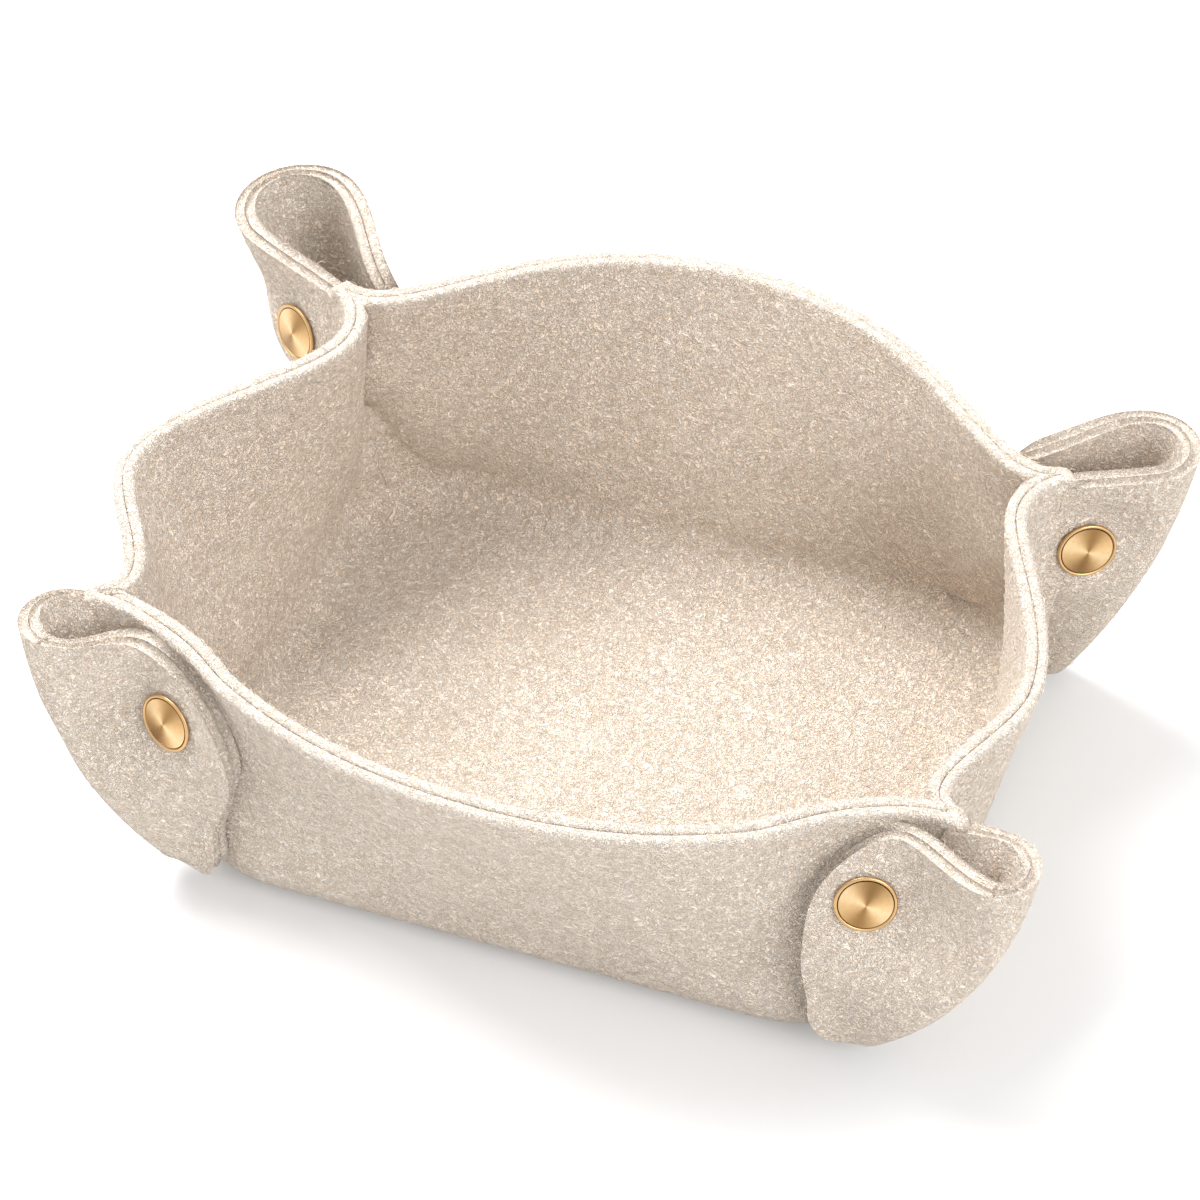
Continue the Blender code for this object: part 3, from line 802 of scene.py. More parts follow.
class Graph:
    """Node tree of one finish, or of the surroundings."""

    def __init__(self, name: str, world: bool = False) -> None:
        """Starts a material, or a world, with its own shader.

        Args:
            name: the material's or the world's name.
            world: whether it is a world.
        """
        self.owner = bpy.data.worlds.new(name) if world else bpy.data.materials.new(name)
        self.owner.use_nodes = True
        self.tree = self.owner.node_tree
        self.shader = self.tree.nodes["Background" if world else "Principled BSDF"]

    def node(self, kind: str, settings: dict, inputs: dict, output: Union[int, str] = 0) -> Wire:
        """Adds a node.

        Args:
            kind: the node's type.
            settings: its properties, set before its sockets.
            inputs: values or links of its sockets, by name or number.
            output: the socket that is wanted.

        Returns:
            That socket.
        """
        made = self.tree.nodes.new(kind)
        for name, value in settings.items():
            setattr(made, name, value)
        for key, value in inputs.items():
            self.feed(made.inputs[key], value)
        return Wire(self, made.outputs[output])

    def feed(self, socket: Any, value: Value) -> None:
        """Links a socket, or sets its value.

        Args:
            socket: the input socket.
            value: a wire to link, or a plain value.
        """
        if isinstance(value, Wire):
            self.tree.links.new(value.socket, socket)
        else:
            socket.default_value = value

    def set(self, **inputs: Value) -> None:
        """Feeds the shader's sockets, named with underscores for spaces."""
        for name, value in inputs.items():
            self.feed(self.shader.inputs[name.replace("_", " ")], value)

    def mix(self, share: Value, a: Value, b: Value) -> Wire:
        """Mix of two colours."""
        return self.node("ShaderNodeMix", {"data_type": "RGBA"}, {0: share, 6: a, 7: b}, 2)

    def noise(self, where: Wire, scale: float, detail: float, seed: float, bend: float = 0.0) -> Wire:
        """Cloudy noise over the surface, of the scale, detail, seed and bend that a Noise holds."""
        inputs = {"Vector": where, "Scale": scale, "Detail": detail, "W": seed, "Distortion": bend}
        return self.node("ShaderNodeTexNoise", {"noise_dimensions": "4D"}, inputs)

    def bump(self, height: Wire, strength: float, distance: float) -> Wire:
        """Normal from a height."""
        inputs = {"Height": height, "Strength": strength, "Distance": distance}
        return self.node("ShaderNodeBump", {}, inputs, "Normal")


@dataclass(frozen=True)
class FeltFinish:
    """Cream wool felt: whitish curly strands over tan gaps, with painted highlight along its cut edges,
    which are mixed toward a paler tone as if they caught more light.
    """

    name: str = "wool_felt"
    cream: Color = (0.86, 0.738, 0.622, 1.0)
    oat: Color = (0.62, 0.465, 0.325, 1.0)
    # paler tone of the painted highlight along the cut edges
    pale: Color = (0.86, 0.775, 0.685, 1.0)
    strand: Color = (0.93, 0.865, 0.785, 1.0)
    roughness: float = 0.97
    sheen: float = 0.10
    sheen_roughness: float = 0.6
    specular: float = 0.1
    cloud_noise: Noise = (60.0, 3.0, 0.0)
    cloud_range: tuple[float, float] = (0.36, 0.68)
    cloud_share: float = 0.12
    gap_noise: Noise = (850.0, 2.0, 2.0, 1.2)
    gap_range: tuple[float, float] = (0.42, 0.66)
    gap_share: float = 0.58
    gap_depth: float = 0.6
    # how far the cut edges are mixed toward the painted highlight
    edge_share: float = 0.5
    curl_scales: tuple[float, ...] = (380.0, 640.0, 980.0)
    curl_detail: float = 1.0
    curl_seeds: float = 100.0
    curl_width: float = 0.045
    curl_bend: float = 2.2
    curl_share: float = 0.55
    relief: tuple[float, float] = (0.9, 0.00035)

    def strands(self, graph: Graph, where: Wire, scale: float) -> Wire:
        """Thin curly lines along one height of a bent noise."""
        height = graph.noise(where, scale, self.curl_detail, scale / self.curl_seeds, self.curl_bend)
        return 1.0 - abs(height - 0.5).ramp(0.0, self.curl_width)

    def material(self) -> bpy.types.Material:
        """Builds the finish.

        Returns:
            The material.
        """
        graph = Graph(self.name)
        where = graph.node("ShaderNodeTexCoord", {}, {}, "Object")
        edge = graph.node("ShaderNodeAttribute", {"attribute_name": "cut_edge"}, {}, "Fac")
        clouds = graph.noise(where, *self.cloud_noise).ramp(*self.cloud_range)
        gaps = graph.noise(where, *self.gap_noise).ramp(*self.gap_range)
        curls, *others = (self.strands(graph, where, scale) for scale in self.curl_scales)
        for layer in others:
            curls = curls.math("MAXIMUM", layer)
        tone = graph.mix(clouds * self.cloud_share + gaps * self.gap_share, self.cream, self.oat)
        # painted highlight: the cut edges, the rims most of all, are mixed toward a paler tone as if lit
        # more
        tone = graph.mix(edge * self.edge_share, tone, self.pale)
        tone = graph.mix(curls * self.curl_share, tone, self.strand)
        height = curls - gaps * self.gap_depth
        graph.set(Base_Color=tone, Roughness=self.roughness, Normal=graph.bump(height, *self.relief))
        graph.set(Sheen_Weight=self.sheen, Sheen_Roughness=self.sheen_roughness)
        graph.set(Specular_IOR_Level=self.specular)
        return graph.owner


@dataclass(frozen=True)
class WoolFinish:
    """Pale wool of the loose fibres."""

    name: str = "loose_wool"
    tone: Color = (0.80, 0.705, 0.60, 1.0)
    roughness: float = 0.9
    specular: float = 0.1
    sheen: float = 0.15

    def material(self) -> bpy.types.Material:
        """Builds the finish.

        Returns:
            The material.
        """
        graph = Graph(self.name)
        graph.set(Base_Color=self.tone, Roughness=self.roughness)
        graph.set(Specular_IOR_Level=self.specular, Sheen_Weight=self.sheen)
        return graph.owner


@dataclass(frozen=True)
class BrassFinish:
    """Satin brass turned in rings. The lighter and darker wedges that a turned face shows are painted into
    its colour as painted highlight and painted reflection, and a painted shade ring sits at the groove
    inside the rim.
    """

    name: str = "brushed_brass"
    gold: Color = (0.62, 0.40, 0.19, 1.0)
    # colour of the painted reflection's darker sectors and of the painted shade at the groove; the scratches
    # use it too
    shade: Color = (0.24, 0.13, 0.045, 1.0)
    # colour of the painted highlight sectors
    bright: Color = (0.86, 0.64, 0.38, 1.0)
    roughness: float = 0.30
    brushing: float = 0.7
    ring_pitch: float = 0.00016
    groove: tuple[float, float] = (0.00447, 0.00464)
    # width and share of the painted shade ring at the groove
    groove_width: float = 0.0001
    groove_share: float = 0.5
    wedges: float = 2.0
    # placing, narrowness and share of the painted reflection's darker and lighter sectors
    dark_turn: float = 1.25
    dark_sharp: float = 2.2
    dark_share: float = 0.9
    bright_turn: float = 2.6
    bright_sharp: float = 4.0
    bright_share: float = 0.7
    scratch_noise: Noise = (1500.0, 3.0, 1.0)
    scratch_range: tuple[float, float] = (0.35, 0.75)
    scratch_share: float = 0.12
    scratch_gloss: float = 0.16
    ring_depth: float = 0.5
    relief: tuple[float, float] = (0.10, 0.00003)

    def wedge(self, angle: Wire, turn: float, sharp: float) -> Wire:
        """Sectors round the axis where a reflection is painted, from 0 between them to 1 in their middle."""
        lobe = ((angle - turn) * self.wedges).math("COSINE")
        return (lobe * 0.5 + 0.5).math("POWER", sharp)

    def material(self) -> bpy.types.Material:
        """Builds the finish.

        Returns:
            The material.
        """
        graph = Graph(self.name)
        where = graph.node("ShaderNodeTexCoord", {}, {}, "Object")
        in_plan = (1.0, 1.0, 0.0)
        flat = graph.node("ShaderNodeVectorMath", {"operation": "MULTIPLY"}, {0: where, 1: in_plan})
        radius = graph.node("ShaderNodeVectorMath", {"operation": "LENGTH"}, {0: flat}, "Value")
        x, y = (graph.node("ShaderNodeSeparateXYZ", {}, {0: where}, axis) for axis in "XY")
        angle = y.math("ARCTAN2", x)
        rings = (radius * (math.tau / self.ring_pitch)).math("SINE")
        scratch = graph.noise(where, *self.scratch_noise)
        face = 1.0 - radius.ramp(*self.groove)
        # painted shade: a thin darker ring at the groove inside the rolled rim, where shade falls in the
        # recess
        line = radius.ramp(self.groove[0] - self.groove_width, self.groove[0]) * face
        # painted reflection: darker and lighter sectors round the axis, standing in for what a turned face
        # reflects
        painted_dark_reflection = self.wedge(angle, self.dark_turn, self.dark_sharp) * face
        bright = self.wedge(angle, self.bright_turn, self.bright_sharp) * face
        painted_shade = (painted_dark_reflection * self.dark_share + line * self.groove_share).math("MINIMUM", 1.0)
        tone = graph.mix(bright * self.bright_share, self.gold, self.bright)
        tone = graph.mix(painted_shade, tone, self.shade)
        tone = graph.mix(scratch.ramp(*self.scratch_range) * self.scratch_share, tone, self.shade)
        rough = scratch * self.scratch_gloss + (self.roughness - self.scratch_gloss / 2)
        graph.set(Base_Color=tone, Metallic=1.0, Roughness=rough, Anisotropic=self.brushing)
        graph.set(Normal=graph.bump(rings * self.ring_depth + scratch, *self.relief))
        return graph.owner


@dataclass(frozen=True)
class MetalFinish:
    """Plain satin metal of the snaps' other pieces."""

    name: str
    tone: Color
    shade: Color
    roughness: float = 0.34
    scuff_noise: Noise = (900.0, 4.0, 3.0)
    scuff_range: tuple[float, float] = (0.4, 0.75)
    scuff_share: float = 0.4
    scuff_gloss: float = 0.2
    relief: tuple[float, float] = (0.08, 0.00004)

    def material(self) -> bpy.types.Material:
        """Builds the finish.

        Returns:
            The material.
        """
        graph = Graph(self.name)
        where = graph.node("ShaderNodeTexCoord", {}, {}, "Object")
        scuffs = graph.noise(where, *self.scuff_noise)
        tone = graph.mix(scuffs.ramp(*self.scuff_range) * self.scuff_share, self.tone, self.shade)
        rough = scuffs * self.scuff_gloss + (self.roughness - self.scuff_gloss / 2)
        graph.set(Base_Color=tone, Metallic=1.0, Roughness=rough)
        graph.set(Normal=graph.bump(scuffs, *self.relief))
        return graph.owner


def add_mesh(
    name: str, points: Array, faces: Iterable[Sequence[int]],
    edge: Optional[Array] = None, shown: Optional[Array] = None,
) -> bpy.types.Object:
    """Smooth mesh object.

    Args:
        name: the object's name.
        points: its vertices in millimetres.
        faces: its faces.
        edge: how far each vertex belongs to a cut edge, from 0 to 1.
        shown: whether each vertex lies on an open face of the felt, 1 or 0.

    Returns:
        The object.
    """
    mesh = bpy.data.meshes.new(name)
    mesh.from_pydata((np.asarray(points) * MM).tolist(), [], [tuple(face) for face in faces])
    mesh.validate()
    mesh.shade_smooth()
    for layer_name, values in (("cut_edge", edge), ("shown", shown)):
        if values is not None:
            layer = mesh.attributes.new(layer_name, "FLOAT", "POINT")
            layer.data.foreach_set("value", np.asarray(values, np.float32))
    obj = bpy.data.objects.new(name, mesh)
    bpy.context.scene.collection.objects.link(obj)
    return obj


def grid_faces(index: Array, wrap: bool = False) -> Array:
    """Quads between the rows of an array of vertex numbers.

    Args:
        index: vertex numbers, row by row.
        wrap: whether each row closes on itself.

    Returns:
        Four vertex numbers to a row.
    """
    right = np.roll(index, -1, axis=1) if wrap else index[:, 1:]
    left = index if wrap else index[:, :-1]
    quads = np.stack([left[:-1], right[:-1], right[1:], left[1:]], axis=-1)
    return quads.reshape(-1, 4)


def rounded_edge(near: Array, far: Array, out: Array, near_bonded: bool) -> list[Array]:
    """Rows of points round the cut edge from one face of a ply to the other.

    Args:
        near: border points of one face.
        far: border points of the other face.
        out: the ways out of the ply at those points.
        near_bonded: whether the first face, and not the other, lies on the next ply.

    Returns:
        The rows between the two borders, fuller beside the next ply.
    """
    middle, half = (near + far) / 2, (near - far) / 2
    step = math.pi / FELT.edge_steps
    turns = [step / FELT.groove_steps, *np.arange(1, FELT.edge_steps) * step]
    rows = []
    for turn in turns:
        bulge = math.sin(turn)
        if math.cos(turn) > 0:
            bulge = lerp(1.0, bulge, FELT.groove)
        across = math.cos(turn) if near_bonded else -math.cos(turn)
        rows.append(middle + across * half + bulge * FELT.edge_round * out)
    return rows if near_bonded else rows[::-1]


@dataclass
class Bowl:
    """One ply of the tray's body."""

    form: TrayForm
    lift: float
    columns: int = 64
    corner_crowding: float = 1.7
    foot_levels: int = 8
    wall_levels: int = 34
    floor_shares: tuple[float, ...] = (0.3, 0.6, 0.85)
    lowest_level: float = -0.999
    border_edge: float = 0.7

    def places(self) -> Array:
        """Places round the body, closer together near the corners.

        Returns:
            The places in order.
        """
        share = np.linspace(0, 1, self.columns, endpoint=False)
        toward = 1 - (1 - share) ** self.corner_crowding
        away = share**self.corner_crowding
        halves = [half + (away if half % 2 else toward) for half in range(8)]
        return np.sort(np.concatenate(halves))

    def levels(self) -> Array:
        """Levels from the base plane to the rim."""
        foot = np.linspace(self.lowest_level, 0, self.foot_levels, endpoint=False)
        return np.concatenate([foot, np.linspace(0, 1, self.wall_levels)])

    def build(self, name: str) -> bpy.types.Object:
        """Makes the ply as one closed mesh.

        Args:
            name: the object's name.

        Returns:
            The object.
        """
        q, levels = self.places()[None, :], self.levels()[:, None]
        outer = self.form.inside(q, levels, self.lift) if self.lift else self.form.skin(q, levels)
        inner = self.form.inside(q, levels, self.lift - FELT.ply)
        out = unit(unit(outer[-1] - outer[-2]) + unit(inner[-1] - inner[-2]))
        rim = rounded_edge(outer[-1], inner[-1], out, bool(self.lift))
        rows = [*self.floor(outer[0]), *outer, *rim, *inner[::-1], *self.floor(inner[0])[::-1]]
        count = len(rows[0])
        centres = [[0.0, 0.0, rows[0][:, 2].mean()], [0.0, 0.0, rows[-1][:, 2].mean()]]
        points = np.vstack([*rows, centres])
        index = np.arange(len(rows) * count).reshape(len(rows), count)
        faces = [tuple(face) for face in grid_faces(index, wrap=True)]
        low, high = len(points) - 2, len(points) - 1
        faces += [(low, b, a) for a, b in zip(index[0], np.roll(index[0], -1))]
        faces += [(high, a, b) for a, b in zip(index[-1], np.roll(index[-1], -1))]
        start = len(self.floor_shares) + len(outer)
        edge = np.zeros((len(rows), count))
        edge[start : start + len(rim)] = 1.0
        edge[[start - 1, start + len(rim)]] = self.border_edge
        shown = np.zeros((len(rows), count))
        if self.lift:
            shown[start:] = 1.0
        else:
            shown[: start + len(rim)] = 1.0
        edge, shown = (np.append(layer, [0.0, 0.0]) for layer in (edge, shown))
        return add_mesh(name, points, faces, edge, shown)

    def floor(self, ring: Array) -> list[Array]:
        """Rings of the flat base inside its outline."""
        centre = np.array([0.0, 0.0, ring[:, 2].mean()])
        return [lerp(centre, ring, share) for share in self.floor_shares]


@dataclass
class EarPly:
    """One ply of a stretch of an ear."""

    ear: Ear
    ply: Ply
    rows: int = 52
    columns: int = 90
    end_crowding: float = 0.75
    sharp_angle: float = 60.0
    flat_rows: int = 12
    flat_columns: int = 40

    @property
    def near_open(self) -> bool:
        """Whether the first of the two grids is the ply's open face."""
        return bool(self.ply.value * self.ear.flip.prod() > 0)

    def build(self, name: str, spans: Spans, ends: tuple[bool, bool]) -> bpy.types.Object:
        """Makes the stretch as one closed mesh.

        Args:
            name: the object's name.
            spans: gives the stretch's first and last run along a row.
            ends: whether its first and last column are cut edges.

        Returns:
            The object.
        """
        lifts = [self.ply.value * FELT.bond / 2, self.ply.value * FELT.two / 2]
        share = np.linspace(0, 1, self.rows)
        rows = lerp(share, smooth(share), self.end_crowding)
        near, far = self.ear.sheets(rows, spans, self.columns, lifts)
        if self.near_open:
            near, far = far, near
        return self.close(name, near, far, ends)

    def close(self, name: str, near: Array, far: Array, ends: tuple[bool, bool]) -> bpy.types.Object:
        """Joins two facing grids by rounded cut edges.

        Args:
            name: the object's name.
            near: one face's grid of points.
            far: the other face's grid.
            ends: whether the first and last column are cut edges.

        Returns:
            The object.
        """
        size = near.shape[:2]
        index = np.arange(math.prod(size)).reshape(size)
        loop = np.concatenate([index[0, :-1], index[:-1, -1], index[-1, :0:-1], index[:0:-1, 0]])
        flat_near, flat_far = near.reshape(-1, 3), far.reshape(-1, 3)
        middle = (flat_near + flat_far)[loop] / 2
        along = np.roll(middle, -1, axis=0) - np.roll(middle, 1, axis=0)
        way = unit(np.cross(along, (flat_far - flat_near)[loop]))
        ways = np.zeros_like(near)
        ways.reshape(-1, 3)[loop] = way
        for column, inner, is_cut in ((0, 1, ends[0]), (-1, -2, ends[1])):
            if not is_cut:
                ways[[0, -1], column] = ways[[0, -1], inner]
                ways[1:-1, column] = 0.0
        way = ways.reshape(-1, 3)[loop]
        cut = way.any(axis=1)
        rim = rounded_edge(flat_near[loop], flat_far[loop], way, not self.near_open)
        count = len(flat_near)
        points = np.vstack([flat_near, flat_far, *rim])
        rim_index = 2 * count + np.arange(len(rim) * len(loop)).reshape(len(rim), len(loop))
        rings = np.vstack([loop, rim_index, loop + count])
        faces = [*grid_faces(index), *(grid_faces(index + count)[:, ::-1])]
        faces += [tuple(face[::-1]) for face in grid_faces(rings, wrap=True)]
        edge = np.zeros(len(points))
        edge[2 * count :] = np.tile(cut.astype(float), len(rim))
        shown = edge.copy()
        shown[:count] = self.near_open
        shown[count : 2 * count] = not self.near_open
        obj = add_mesh(name, points, faces, edge, shown)
        obj.data.set_sharp_from_angle(angle=math.radians(self.sharp_angle))
        return obj

    def flat(self, spans: Spans) -> tuple[tuple[float, float], float]:
        """Width and length that the stretch is cut to, and its area, in metres.

        Args:
            spans: gives the stretch's first and last run along a row.

        Returns:
            The two sizes and the area.
        """
        rows = np.linspace(0, 1, self.flat_rows)
        middle = self.ear.sheets(rows, spans, self.flat_columns, [0.0])[0]
        width = max(run_of(row)[-1] for row in middle)
        length = max(run_of(column)[-1] for column in middle.transpose(1, 0, 2))
        first, second = middle[1:, 1:] - middle[:-1, :-1], middle[1:, :-1] - middle[:-1, 1:]
        area = np.linalg.norm(np.cross(first, second), axis=-1).sum() / 2
        return (width * MM, length * MM), area * MM * MM


@dataclass
class Fuzz:
    """Loose curly wool fibres that stand on the open faces of a piece of felt, in millimetres."""

    density: float = 0.085
    edge_density: float = 0.75
    length: tuple[float, float] = (0.8, 2.0)
    thickness: tuple[float, float] = (0.09, 0.14)
    lift: tuple[float, float] = (0.06, 0.30)
    curl: float = 0.35
    rings: int = 5
    sides: int = 3
    clear_of_floor: float = 1.2
    open_share: float = 0.9
    half_waves: tuple[float, float] = (0.6, 1.6)
    sunk: float = 0.05
    taper: float = 0.5

    def roots(self, felt: bpy.types.Object, rng: np.random.Generator) -> tuple[Array, Array]:
        """Places on the felt's open faces, and the ways out of the felt there.

        Args:
            felt: the piece of felt.
            rng: source of the random draws.

        Returns:
            Points and unit vectors, one to a row.
        """
        mesh = felt.data
        mesh.calc_loop_triangles()
        corners = np.array([triangle.vertices for triangle in mesh.loop_triangles])
        points = np.empty(len(mesh.vertices) * 3, np.float32)
        mesh.vertices.foreach_get("co", points)
        points = points.reshape(-1, 3)[corners] / MM
        layers = []
        for name in ("cut_edge", "shown"):
            values = np.empty(len(mesh.vertices), np.float32)
            mesh.attributes[name].data.foreach_get("value", values)
            layers.append(values[corners].mean(axis=1))
        across = np.cross(points[:, 1] - points[:, 0], points[:, 2] - points[:, 0])
        area = np.linalg.norm(across, axis=1) / 2
        wanted = area * lerp(self.density, self.edge_density, layers[0]) * (layers[1] > self.open_share)
        wanted *= points[..., 2].min(axis=1) > self.clear_of_floor
        chosen = rng.choice(len(area), size=int(wanted.sum()), p=wanted / wanted.sum())
        shares = rng.dirichlet((1.0, 1.0, 1.0), len(chosen))
        return (points[chosen] * shares[..., None]).sum(axis=1), unit(across[chosen])

    def build(self, name: str, felts: Sequence[bpy.types.Object], seed: int) -> bpy.types.Object:
        """Makes the fibres of some pieces of felt as closed tubes in one mesh.

        Args:
            name: the object's name.
            felts: the pieces of felt.
            seed: seed of the random draws.

        Returns:
            The object.
        """
        rng = np.random.default_rng(seed)
        pairs = [self.roots(felt, rng) for felt in felts]
        root, out = (np.vstack(column) for column in zip(*pairs))
        count = len(root)
        along = unit(np.cross(out, rng.normal(size=(count, 3))))
        side = np.cross(out, along)
        spreads = (self.length, self.lift, self.thickness)
        length, lift, thick = (rng.uniform(*spread, count)[:, None] for spread in spreads)
        bend = rng.normal(0.0, self.curl, (count, 1)) * length
        wave = rng.uniform(*self.half_waves, (count, 1)) * math.pi
        turns = np.linspace(0, math.tau, self.sides, endpoint=False)
        rows = []
        for share in np.linspace(0, 1, self.rings):
            middle = root + along * length * (share - 0.5) + side * bend * np.sin(wave * share)
            middle = middle + out * (lift * math.sin(math.pi * share) - self.sunk)
            thin = thick / 2 * (1 - self.taper * abs(2 * share - 1))
            rows.append([middle + thin * (math.cos(t) * side + math.sin(t) * out) for t in turns])
        points = np.array(rows).transpose(2, 0, 1, 3).reshape(-1, 3)
        index = np.arange(self.rings * self.sides).reshape(self.rings, self.sides)
        tube = [tuple(face[::-1]) for face in grid_faces(index, wrap=True)]
        tube += [tuple(index[0]), tuple(index[-1][::-1])]
        step = self.rings * self.sides
        faces = [tuple(corner + step * k for corner in face) for k in range(count) for face in tube]
        return add_mesh(name, points, faces)


@dataclass
class SnapCap:
    """Turned brass cap of a snap, with a shallow cone inside a rolled rim."""

    ear: Ear
    radius: float = 5.2
    crest: float = 1.35
    cone_foot: float = 0.8
    rim_width: float = 0.74
    groove: tuple[float, float] = (0.06, 0.45)
    roll: float = 0.33
    roll_height: float = 0.58
    roll_turns: tuple[float, float] = (190.0, -60.0)
    roll_steps: int = 12
    underside: float = 0.25
    shank: float = 1.4
    shank_end: float = 0.62
    flange: float = 0.6
    flange_ends: tuple[float, float] = (0.05, 0.23)
    steps: int = 80
    sharp_angle: float = 35.0

    def profile(self) -> list[tuple[float, float]]:
        """Radius and height from the crest round to the shank's end.

        Returns:
            One radius and height for each point.
        """
        cone = self.radius - self.rim_width
        rolled = self.radius - self.roll
        halfway = (cone * 0.5, lerp(self.crest, self.cone_foot, 0.5))
        points = [(0.0, self.crest), halfway, (cone, self.cone_foot)]
        points.append((cone + self.groove[0], self.groove[1]))
        for turn in np.radians(np.linspace(*self.roll_turns, self.roll_steps)):
            out, up = self.roll * math.cos(turn), self.roll * math.sin(turn)
            points.append((rolled + out, self.roll_height + up))
        end = -FELT.ply - FELT.bond - self.shank_end
        top, low = (end - drop for drop in self.flange_ends)
        flange = self.shank + self.flange
        points += [(self.shank, self.underside), (self.shank, end), (flange, top), (flange, low), (0.0, low)]
        return points

    def build(self, name: str) -> bpy.types.Object:
        """Turns the profile and seats the cap on its felt.

        Args:
            name: the object's name.

        Returns:
            The object.
        """
        profile = self.profile()
        turns = np.linspace(0, math.tau, self.steps, endpoint=False)
        rings = [
            np.stack([r * np.cos(turns), r * np.sin(turns), np.full(self.steps, z)], axis=1)
            for r, z in profile[1:-1]
        ]
        points = np.vstack([[0.0, 0.0, profile[0][1]], *rings, [0.0, 0.0, profile[-1][1]]])
        index = 1 + np.arange(len(rings) * self.steps).reshape(len(rings), self.steps)
        faces = [tuple(face[::-1]) for face in grid_faces(index, wrap=True)]
        faces += [(0, a, b) for a, b in zip(index[0], np.roll(index[0], -1))]
        last = len(points) - 1
        faces += [(last, b, a) for a, b in zip(index[-1], np.roll(index[-1], -1))]
        cap = add_mesh(name, points, faces)
        cap.data.set_sharp_from_angle(angle=math.radians(self.sharp_angle))
        axis = Vector(self.ear.axis * self.ear.flip)
        turn = axis.to_track_quat("Z", "Y").to_matrix().to_4x4()
        cap.matrix_world = Matrix.Translation(Vector(self.ear.seat * self.ear.flip) * MM) @ turn
        return cap


@dataclass
class FeltTray:
    """The whole tray: body plies, ears, caps and the frame's own snap pieces."""

    form: TrayForm = field(default_factory=TrayForm)
    blank: tuple[float, float] = (0.245, 0.215)
    blank_area: float = 0.0375
    bend_run: float = 6.5
    bend_share: float = 0.8
    bend_start_y: float = -0.0467
    bend_end_y: float = -0.0481
    post: MetalFinish = MetalFinish("satin_brass", (0.80, 0.60, 0.37, 1.0), (0.62, 0.44, 0.24, 1.0))
    snap: MetalFinish = MetalFinish("bright_steel", (0.66, 0.64, 0.61, 1.0), (0.50, 0.48, 0.45, 1.0))

    def __post_init__(self) -> None:
        """Makes the finishes and the ears' surfaces."""
        self.felt = FeltFinish().material()
        self.wool = WoolFinish().material()
        self.brass = BrassFinish().material()
        self.ears = {corner: Ear(self.form, corner) for corner in CORNERS}

    def build(self) -> None:
        """Builds every piece in order."""
        self.build_body()
        for ear in self.ears.values():
            self.build_ear(ear)
            self.build_cap(ear)
        self.dress_frame()

    def place(self, obj: bpy.types.Object, material: bpy.types.Material, node: str, slot: str) -> None:
        """Dresses a piece and lets it stand for its node.

        Args:
            obj: the piece.
            material: its finish.
            node: the frame's node that it stands for.
            slot: name of its material slot; not used.
        """
        obj.data.materials.append(material)
        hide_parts(node)
        LOG.info("%s stands for %s, %d faces", obj.name, node, len(obj.data.polygons))

    def build_body(self) -> None:
        """The two plies of the body."""
        plies = (
            ("tray_felt_outer", "felt_shell", 0.0),
            ("tray_felt_lining", "felt_lining", -FELT.ply - FELT.bond),
        )
        for seed, (name, node, lift) in enumerate(plies):
            obj = Bowl(self.form, lift).build(name)
            self.place(obj, self.felt, node, "wool_felt")
            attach(obj, "tray")
            fuzz = self.add_fuzz(f"{name}_fibres", [obj], seed)
            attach(fuzz, "tray")

    def bend_end(self, fin: float, flap: float) -> float:
        """Run along a row at which the bend ends and the flap starts."""
        return fin + min(flap * self.bend_share, self.bend_run)

    def bend_span(self, fin: float, flap: float) -> tuple[float, float]:
        """First and last run of a front ear's bend along a row."""
        return 0.0, self.bend_end(fin, flap)

    def flap_span(self, fin: float, flap: float) -> tuple[float, float]:
        """First and last run of a front ear's flap along a row."""
        return self.bend_end(fin, flap), fin + flap

    def build_ear(self, ear: Ear) -> None:
        """The plies of one ear. A front ear's bend and its flap are separate pieces.

        Args:
            ear: the ear.
        """
        if not ear.front:
            for piece in self.add_felts(ear, "ear", "ear", lambda fin, flap: (0.0, fin + flap)):
                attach(piece, "tray")
            return
        body = f"flap_{ear.corner}"
        x, _, z = ear.high * ear.flip * MM
        for piece in self.add_felts(ear, "fin", "bend", self.bend_span):
            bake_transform(piece)
        for piece in self.add_felts(ear, "flap", "flap", self.flap_span):
            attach(piece, body)

    def add_felts(self, ear: Ear, node: str, word: str, spans: Spans) -> list[bpy.types.Object]:
        """Both plies of one stretch of an ear with their fibres; the size that the stretch is cut from is
        logged.

        Args:
            ear: the ear.
            node: first word of the frame's nodes that the plies stand for.
            word: first word of the pieces' names.
            spans: gives the stretch's first and last run along a row.

        Returns:
            The two plies and their fibres.
        """
        made = []
        for ply in Ply:
            maker, tail = EarPly(ear, ply), f"{ply.name.lower()}_{ear.corner}"
            obj = maker.build(f"{word}_felt_{tail}", spans, (False, word != "bend"))
            self.place(obj, self.felt, f"{node}_{tail}", "wool_felt")
            made.append(obj)
        fuzz = self.add_fuzz(f"{word}_fibres_{ear.corner}", made, 10 * ear.q + len(word))
        flat, area = maker.flat(spans)
        LOG.info("%s of %s is cut from %.0f x %.0f mm", word, ear.corner, flat[0] / MM, flat[1] / MM)
        return [*made, fuzz]

    def add_fuzz(self, name: str, felts: Sequence[bpy.types.Object], seed: int) -> bpy.types.Object:
        """Loose fibres on some pieces of felt.

        Args:
            name: the object's name.
            felts: the pieces of felt.
            seed: seed of the random draws.

        Returns:
            The object.
        """
        fuzz = Fuzz().build(name, felts, seed)
        fuzz.data.materials.append(self.wool)
        LOG.info("%s has %d faces", fuzz.name, len(fuzz.data.polygons))
        return fuzz

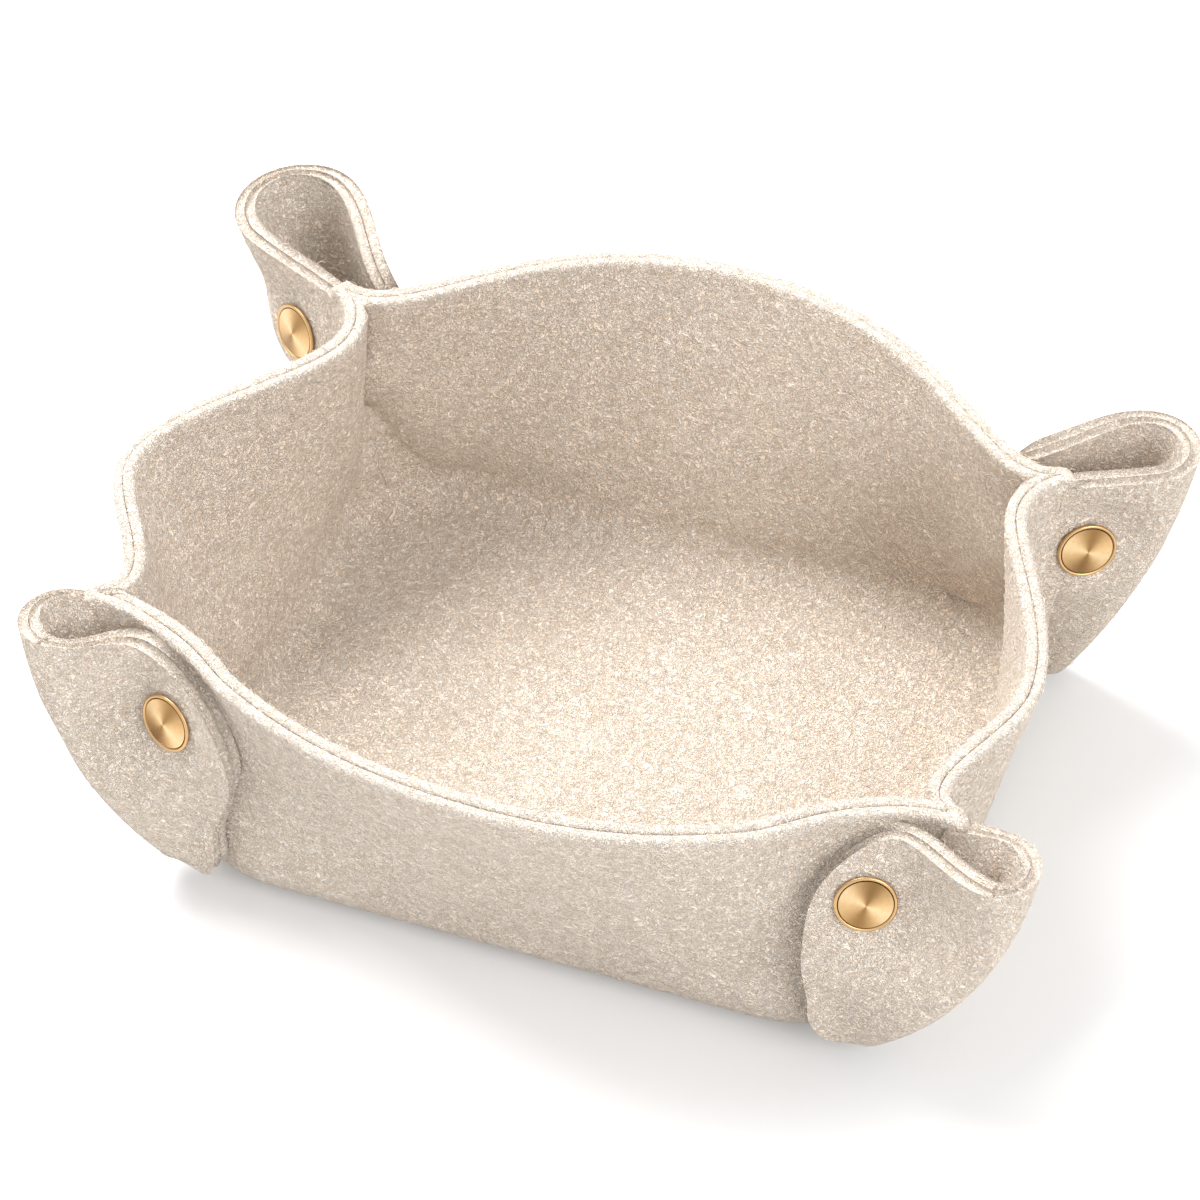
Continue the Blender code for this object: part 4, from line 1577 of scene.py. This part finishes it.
    def build_cap(self, ear: Ear) -> None:
        """The brass cap of one snap.

        Args:
            ear: the ear that carries it.
        """
        cap = SnapCap(ear).build(f"cap_brass_{ear.corner}")
        self.place(cap, self.brass, f"snap_cap_{ear.corner}", "brass")
        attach(cap, f"flap_{ear.corner}" if ear.front else "tray")

    def dress_frame(self) -> None:
        """Finishes on the frame's own snap pieces."""
        post, snap = self.post.material(), self.snap.material()
        for name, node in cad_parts.items():
            if node.hide_render:
                continue
            node.data.materials.clear()
            node.data.materials.append(post if "_post_" in name else snap)
            LOG.info("%s keeps its own shape", name)


@dataclass(frozen=True)
class Lamp:
    """A square soft light that faces the tray."""

    name: str
    place: tuple[float, float, float]
    size: float
    power: float

    def build(self) -> None:
        """Sets the light up."""
        light = bpy.data.lights.new(self.name, "AREA")
        light.shape = "SQUARE"
        light.size = self.size
        light.energy = self.power
        lamp = bpy.data.objects.new(self.name, light)
        bpy.context.scene.collection.objects.link(lamp)
        lamp.location = self.place
        lamp.rotation_euler = (-Vector(self.place)).to_track_quat("-Z", "Y").to_euler()


@dataclass
class Studio:
    """Pale floor, soft light and the camera."""

    azimuth: float = 19.5
    elevation: float = 48.0
    distance: float = 1.0
    pixels_per_mm: float = 5.8
    picture: float = 1200.0
    middle: tuple[float, float] = (614.0, 757.0)
    sensor: float = 36.0
    view_end: float = 100.0
    floor_size: float = 12.0
    floor_drop: float = 0.0002
    floor_tone: float = 0.70
    floor_roughness: float = 0.9
    floor_glow: float = 0.14
    fill: float = 0.80
    key: Lamp = Lamp("key", (-0.62, 0.30, 1.05), 0.75, 26.0)
    fill_front: Lamp = Lamp("fill_front", (1.10, -0.62, 0.85), 0.9, 14.0)

    def build(self) -> None:
        """Sets up the floor, the light and the camera."""
        self.add_floor()
        self.add_world()
        self.key.build()
        self.fill_front.build()
        self.add_camera()
        bpy.context.scene.view_settings.view_transform = "Standard"

    def add_floor(self) -> None:
        """Plain white floor that keeps the tray's shadow."""
        half = self.floor_size / 2 / MM
        corners = [(-half, -half, 0), (half, -half, 0), (half, half, 0), (-half, half, 0)]
        floor = add_mesh("floor", np.array(corners, float), [(0, 1, 2, 3)])
        floor.location.z = -self.floor_drop
        graph = Graph("white_floor")
        tone = (self.floor_tone, self.floor_tone, self.floor_tone, 1.0)
        graph.set(Base_Color=tone, Roughness=self.floor_roughness, Specular_IOR_Level=0.0)
        seen = graph.node("ShaderNodeLightPath", {}, {}, "Is Camera Ray")
        lit = graph.mix(seen, (0.0, 0.0, 0.0, 1.0), (1.0, 1.0, 1.0, 1.0))
        graph.set(Emission_Color=lit, Emission_Strength=self.floor_glow)
        floor.data.materials.append(graph.owner)

    def add_world(self) -> None:
        """White surroundings, dimmer where they only light the felt."""
        graph = Graph("surroundings", world=True)
        bpy.context.scene.world = graph.owner
        seen = graph.node("ShaderNodeLightPath", {}, {}, "Is Camera Ray")
        for name in ("Is Glossy Ray", "Is Transmission Ray"):
            seen = seen.math("MAXIMUM", graph.node("ShaderNodeLightPath", {}, {}, name))
        graph.set(Color=(1.0, 1.0, 1.0, 1.0), Strength=seen * (1.0 - self.fill) + self.fill)

    def add_camera(self) -> None:
        """Camera at the photograph's angle, with its shift."""
        azimuth, elevation = math.radians(self.azimuth), math.radians(self.elevation)
        level = math.cos(elevation)
        back = Vector((math.sin(azimuth) * level, -math.cos(azimuth) * level, math.sin(elevation)))
        right = Vector((math.cos(azimuth), math.sin(azimuth), 0.0))
        data = bpy.data.cameras.new("camera")
        camera = bpy.data.objects.new("camera", data)
        bpy.context.scene.collection.objects.link(camera)
        camera.location = back * self.distance
        camera.rotation_euler = Matrix((right, back.cross(right), back)).transposed().to_euler()
        data.sensor_width = self.sensor
        data.lens = self.pixels_per_mm * self.distance / MM / self.picture * self.sensor
        data.shift_x = (self.picture / 2 - self.middle[0]) / self.picture
        data.shift_y = (self.middle[1] - self.picture / 2) / self.picture
        data.clip_end = self.view_end
        bpy.context.scene.camera = camera


def main() -> None:
    """Builds the tray and its studio."""
    logging.basicConfig(level=logging.INFO, format="%(message)s")
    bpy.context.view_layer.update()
    FeltTray().build()
    Studio().build()


if __name__ == "__main__":
    main()
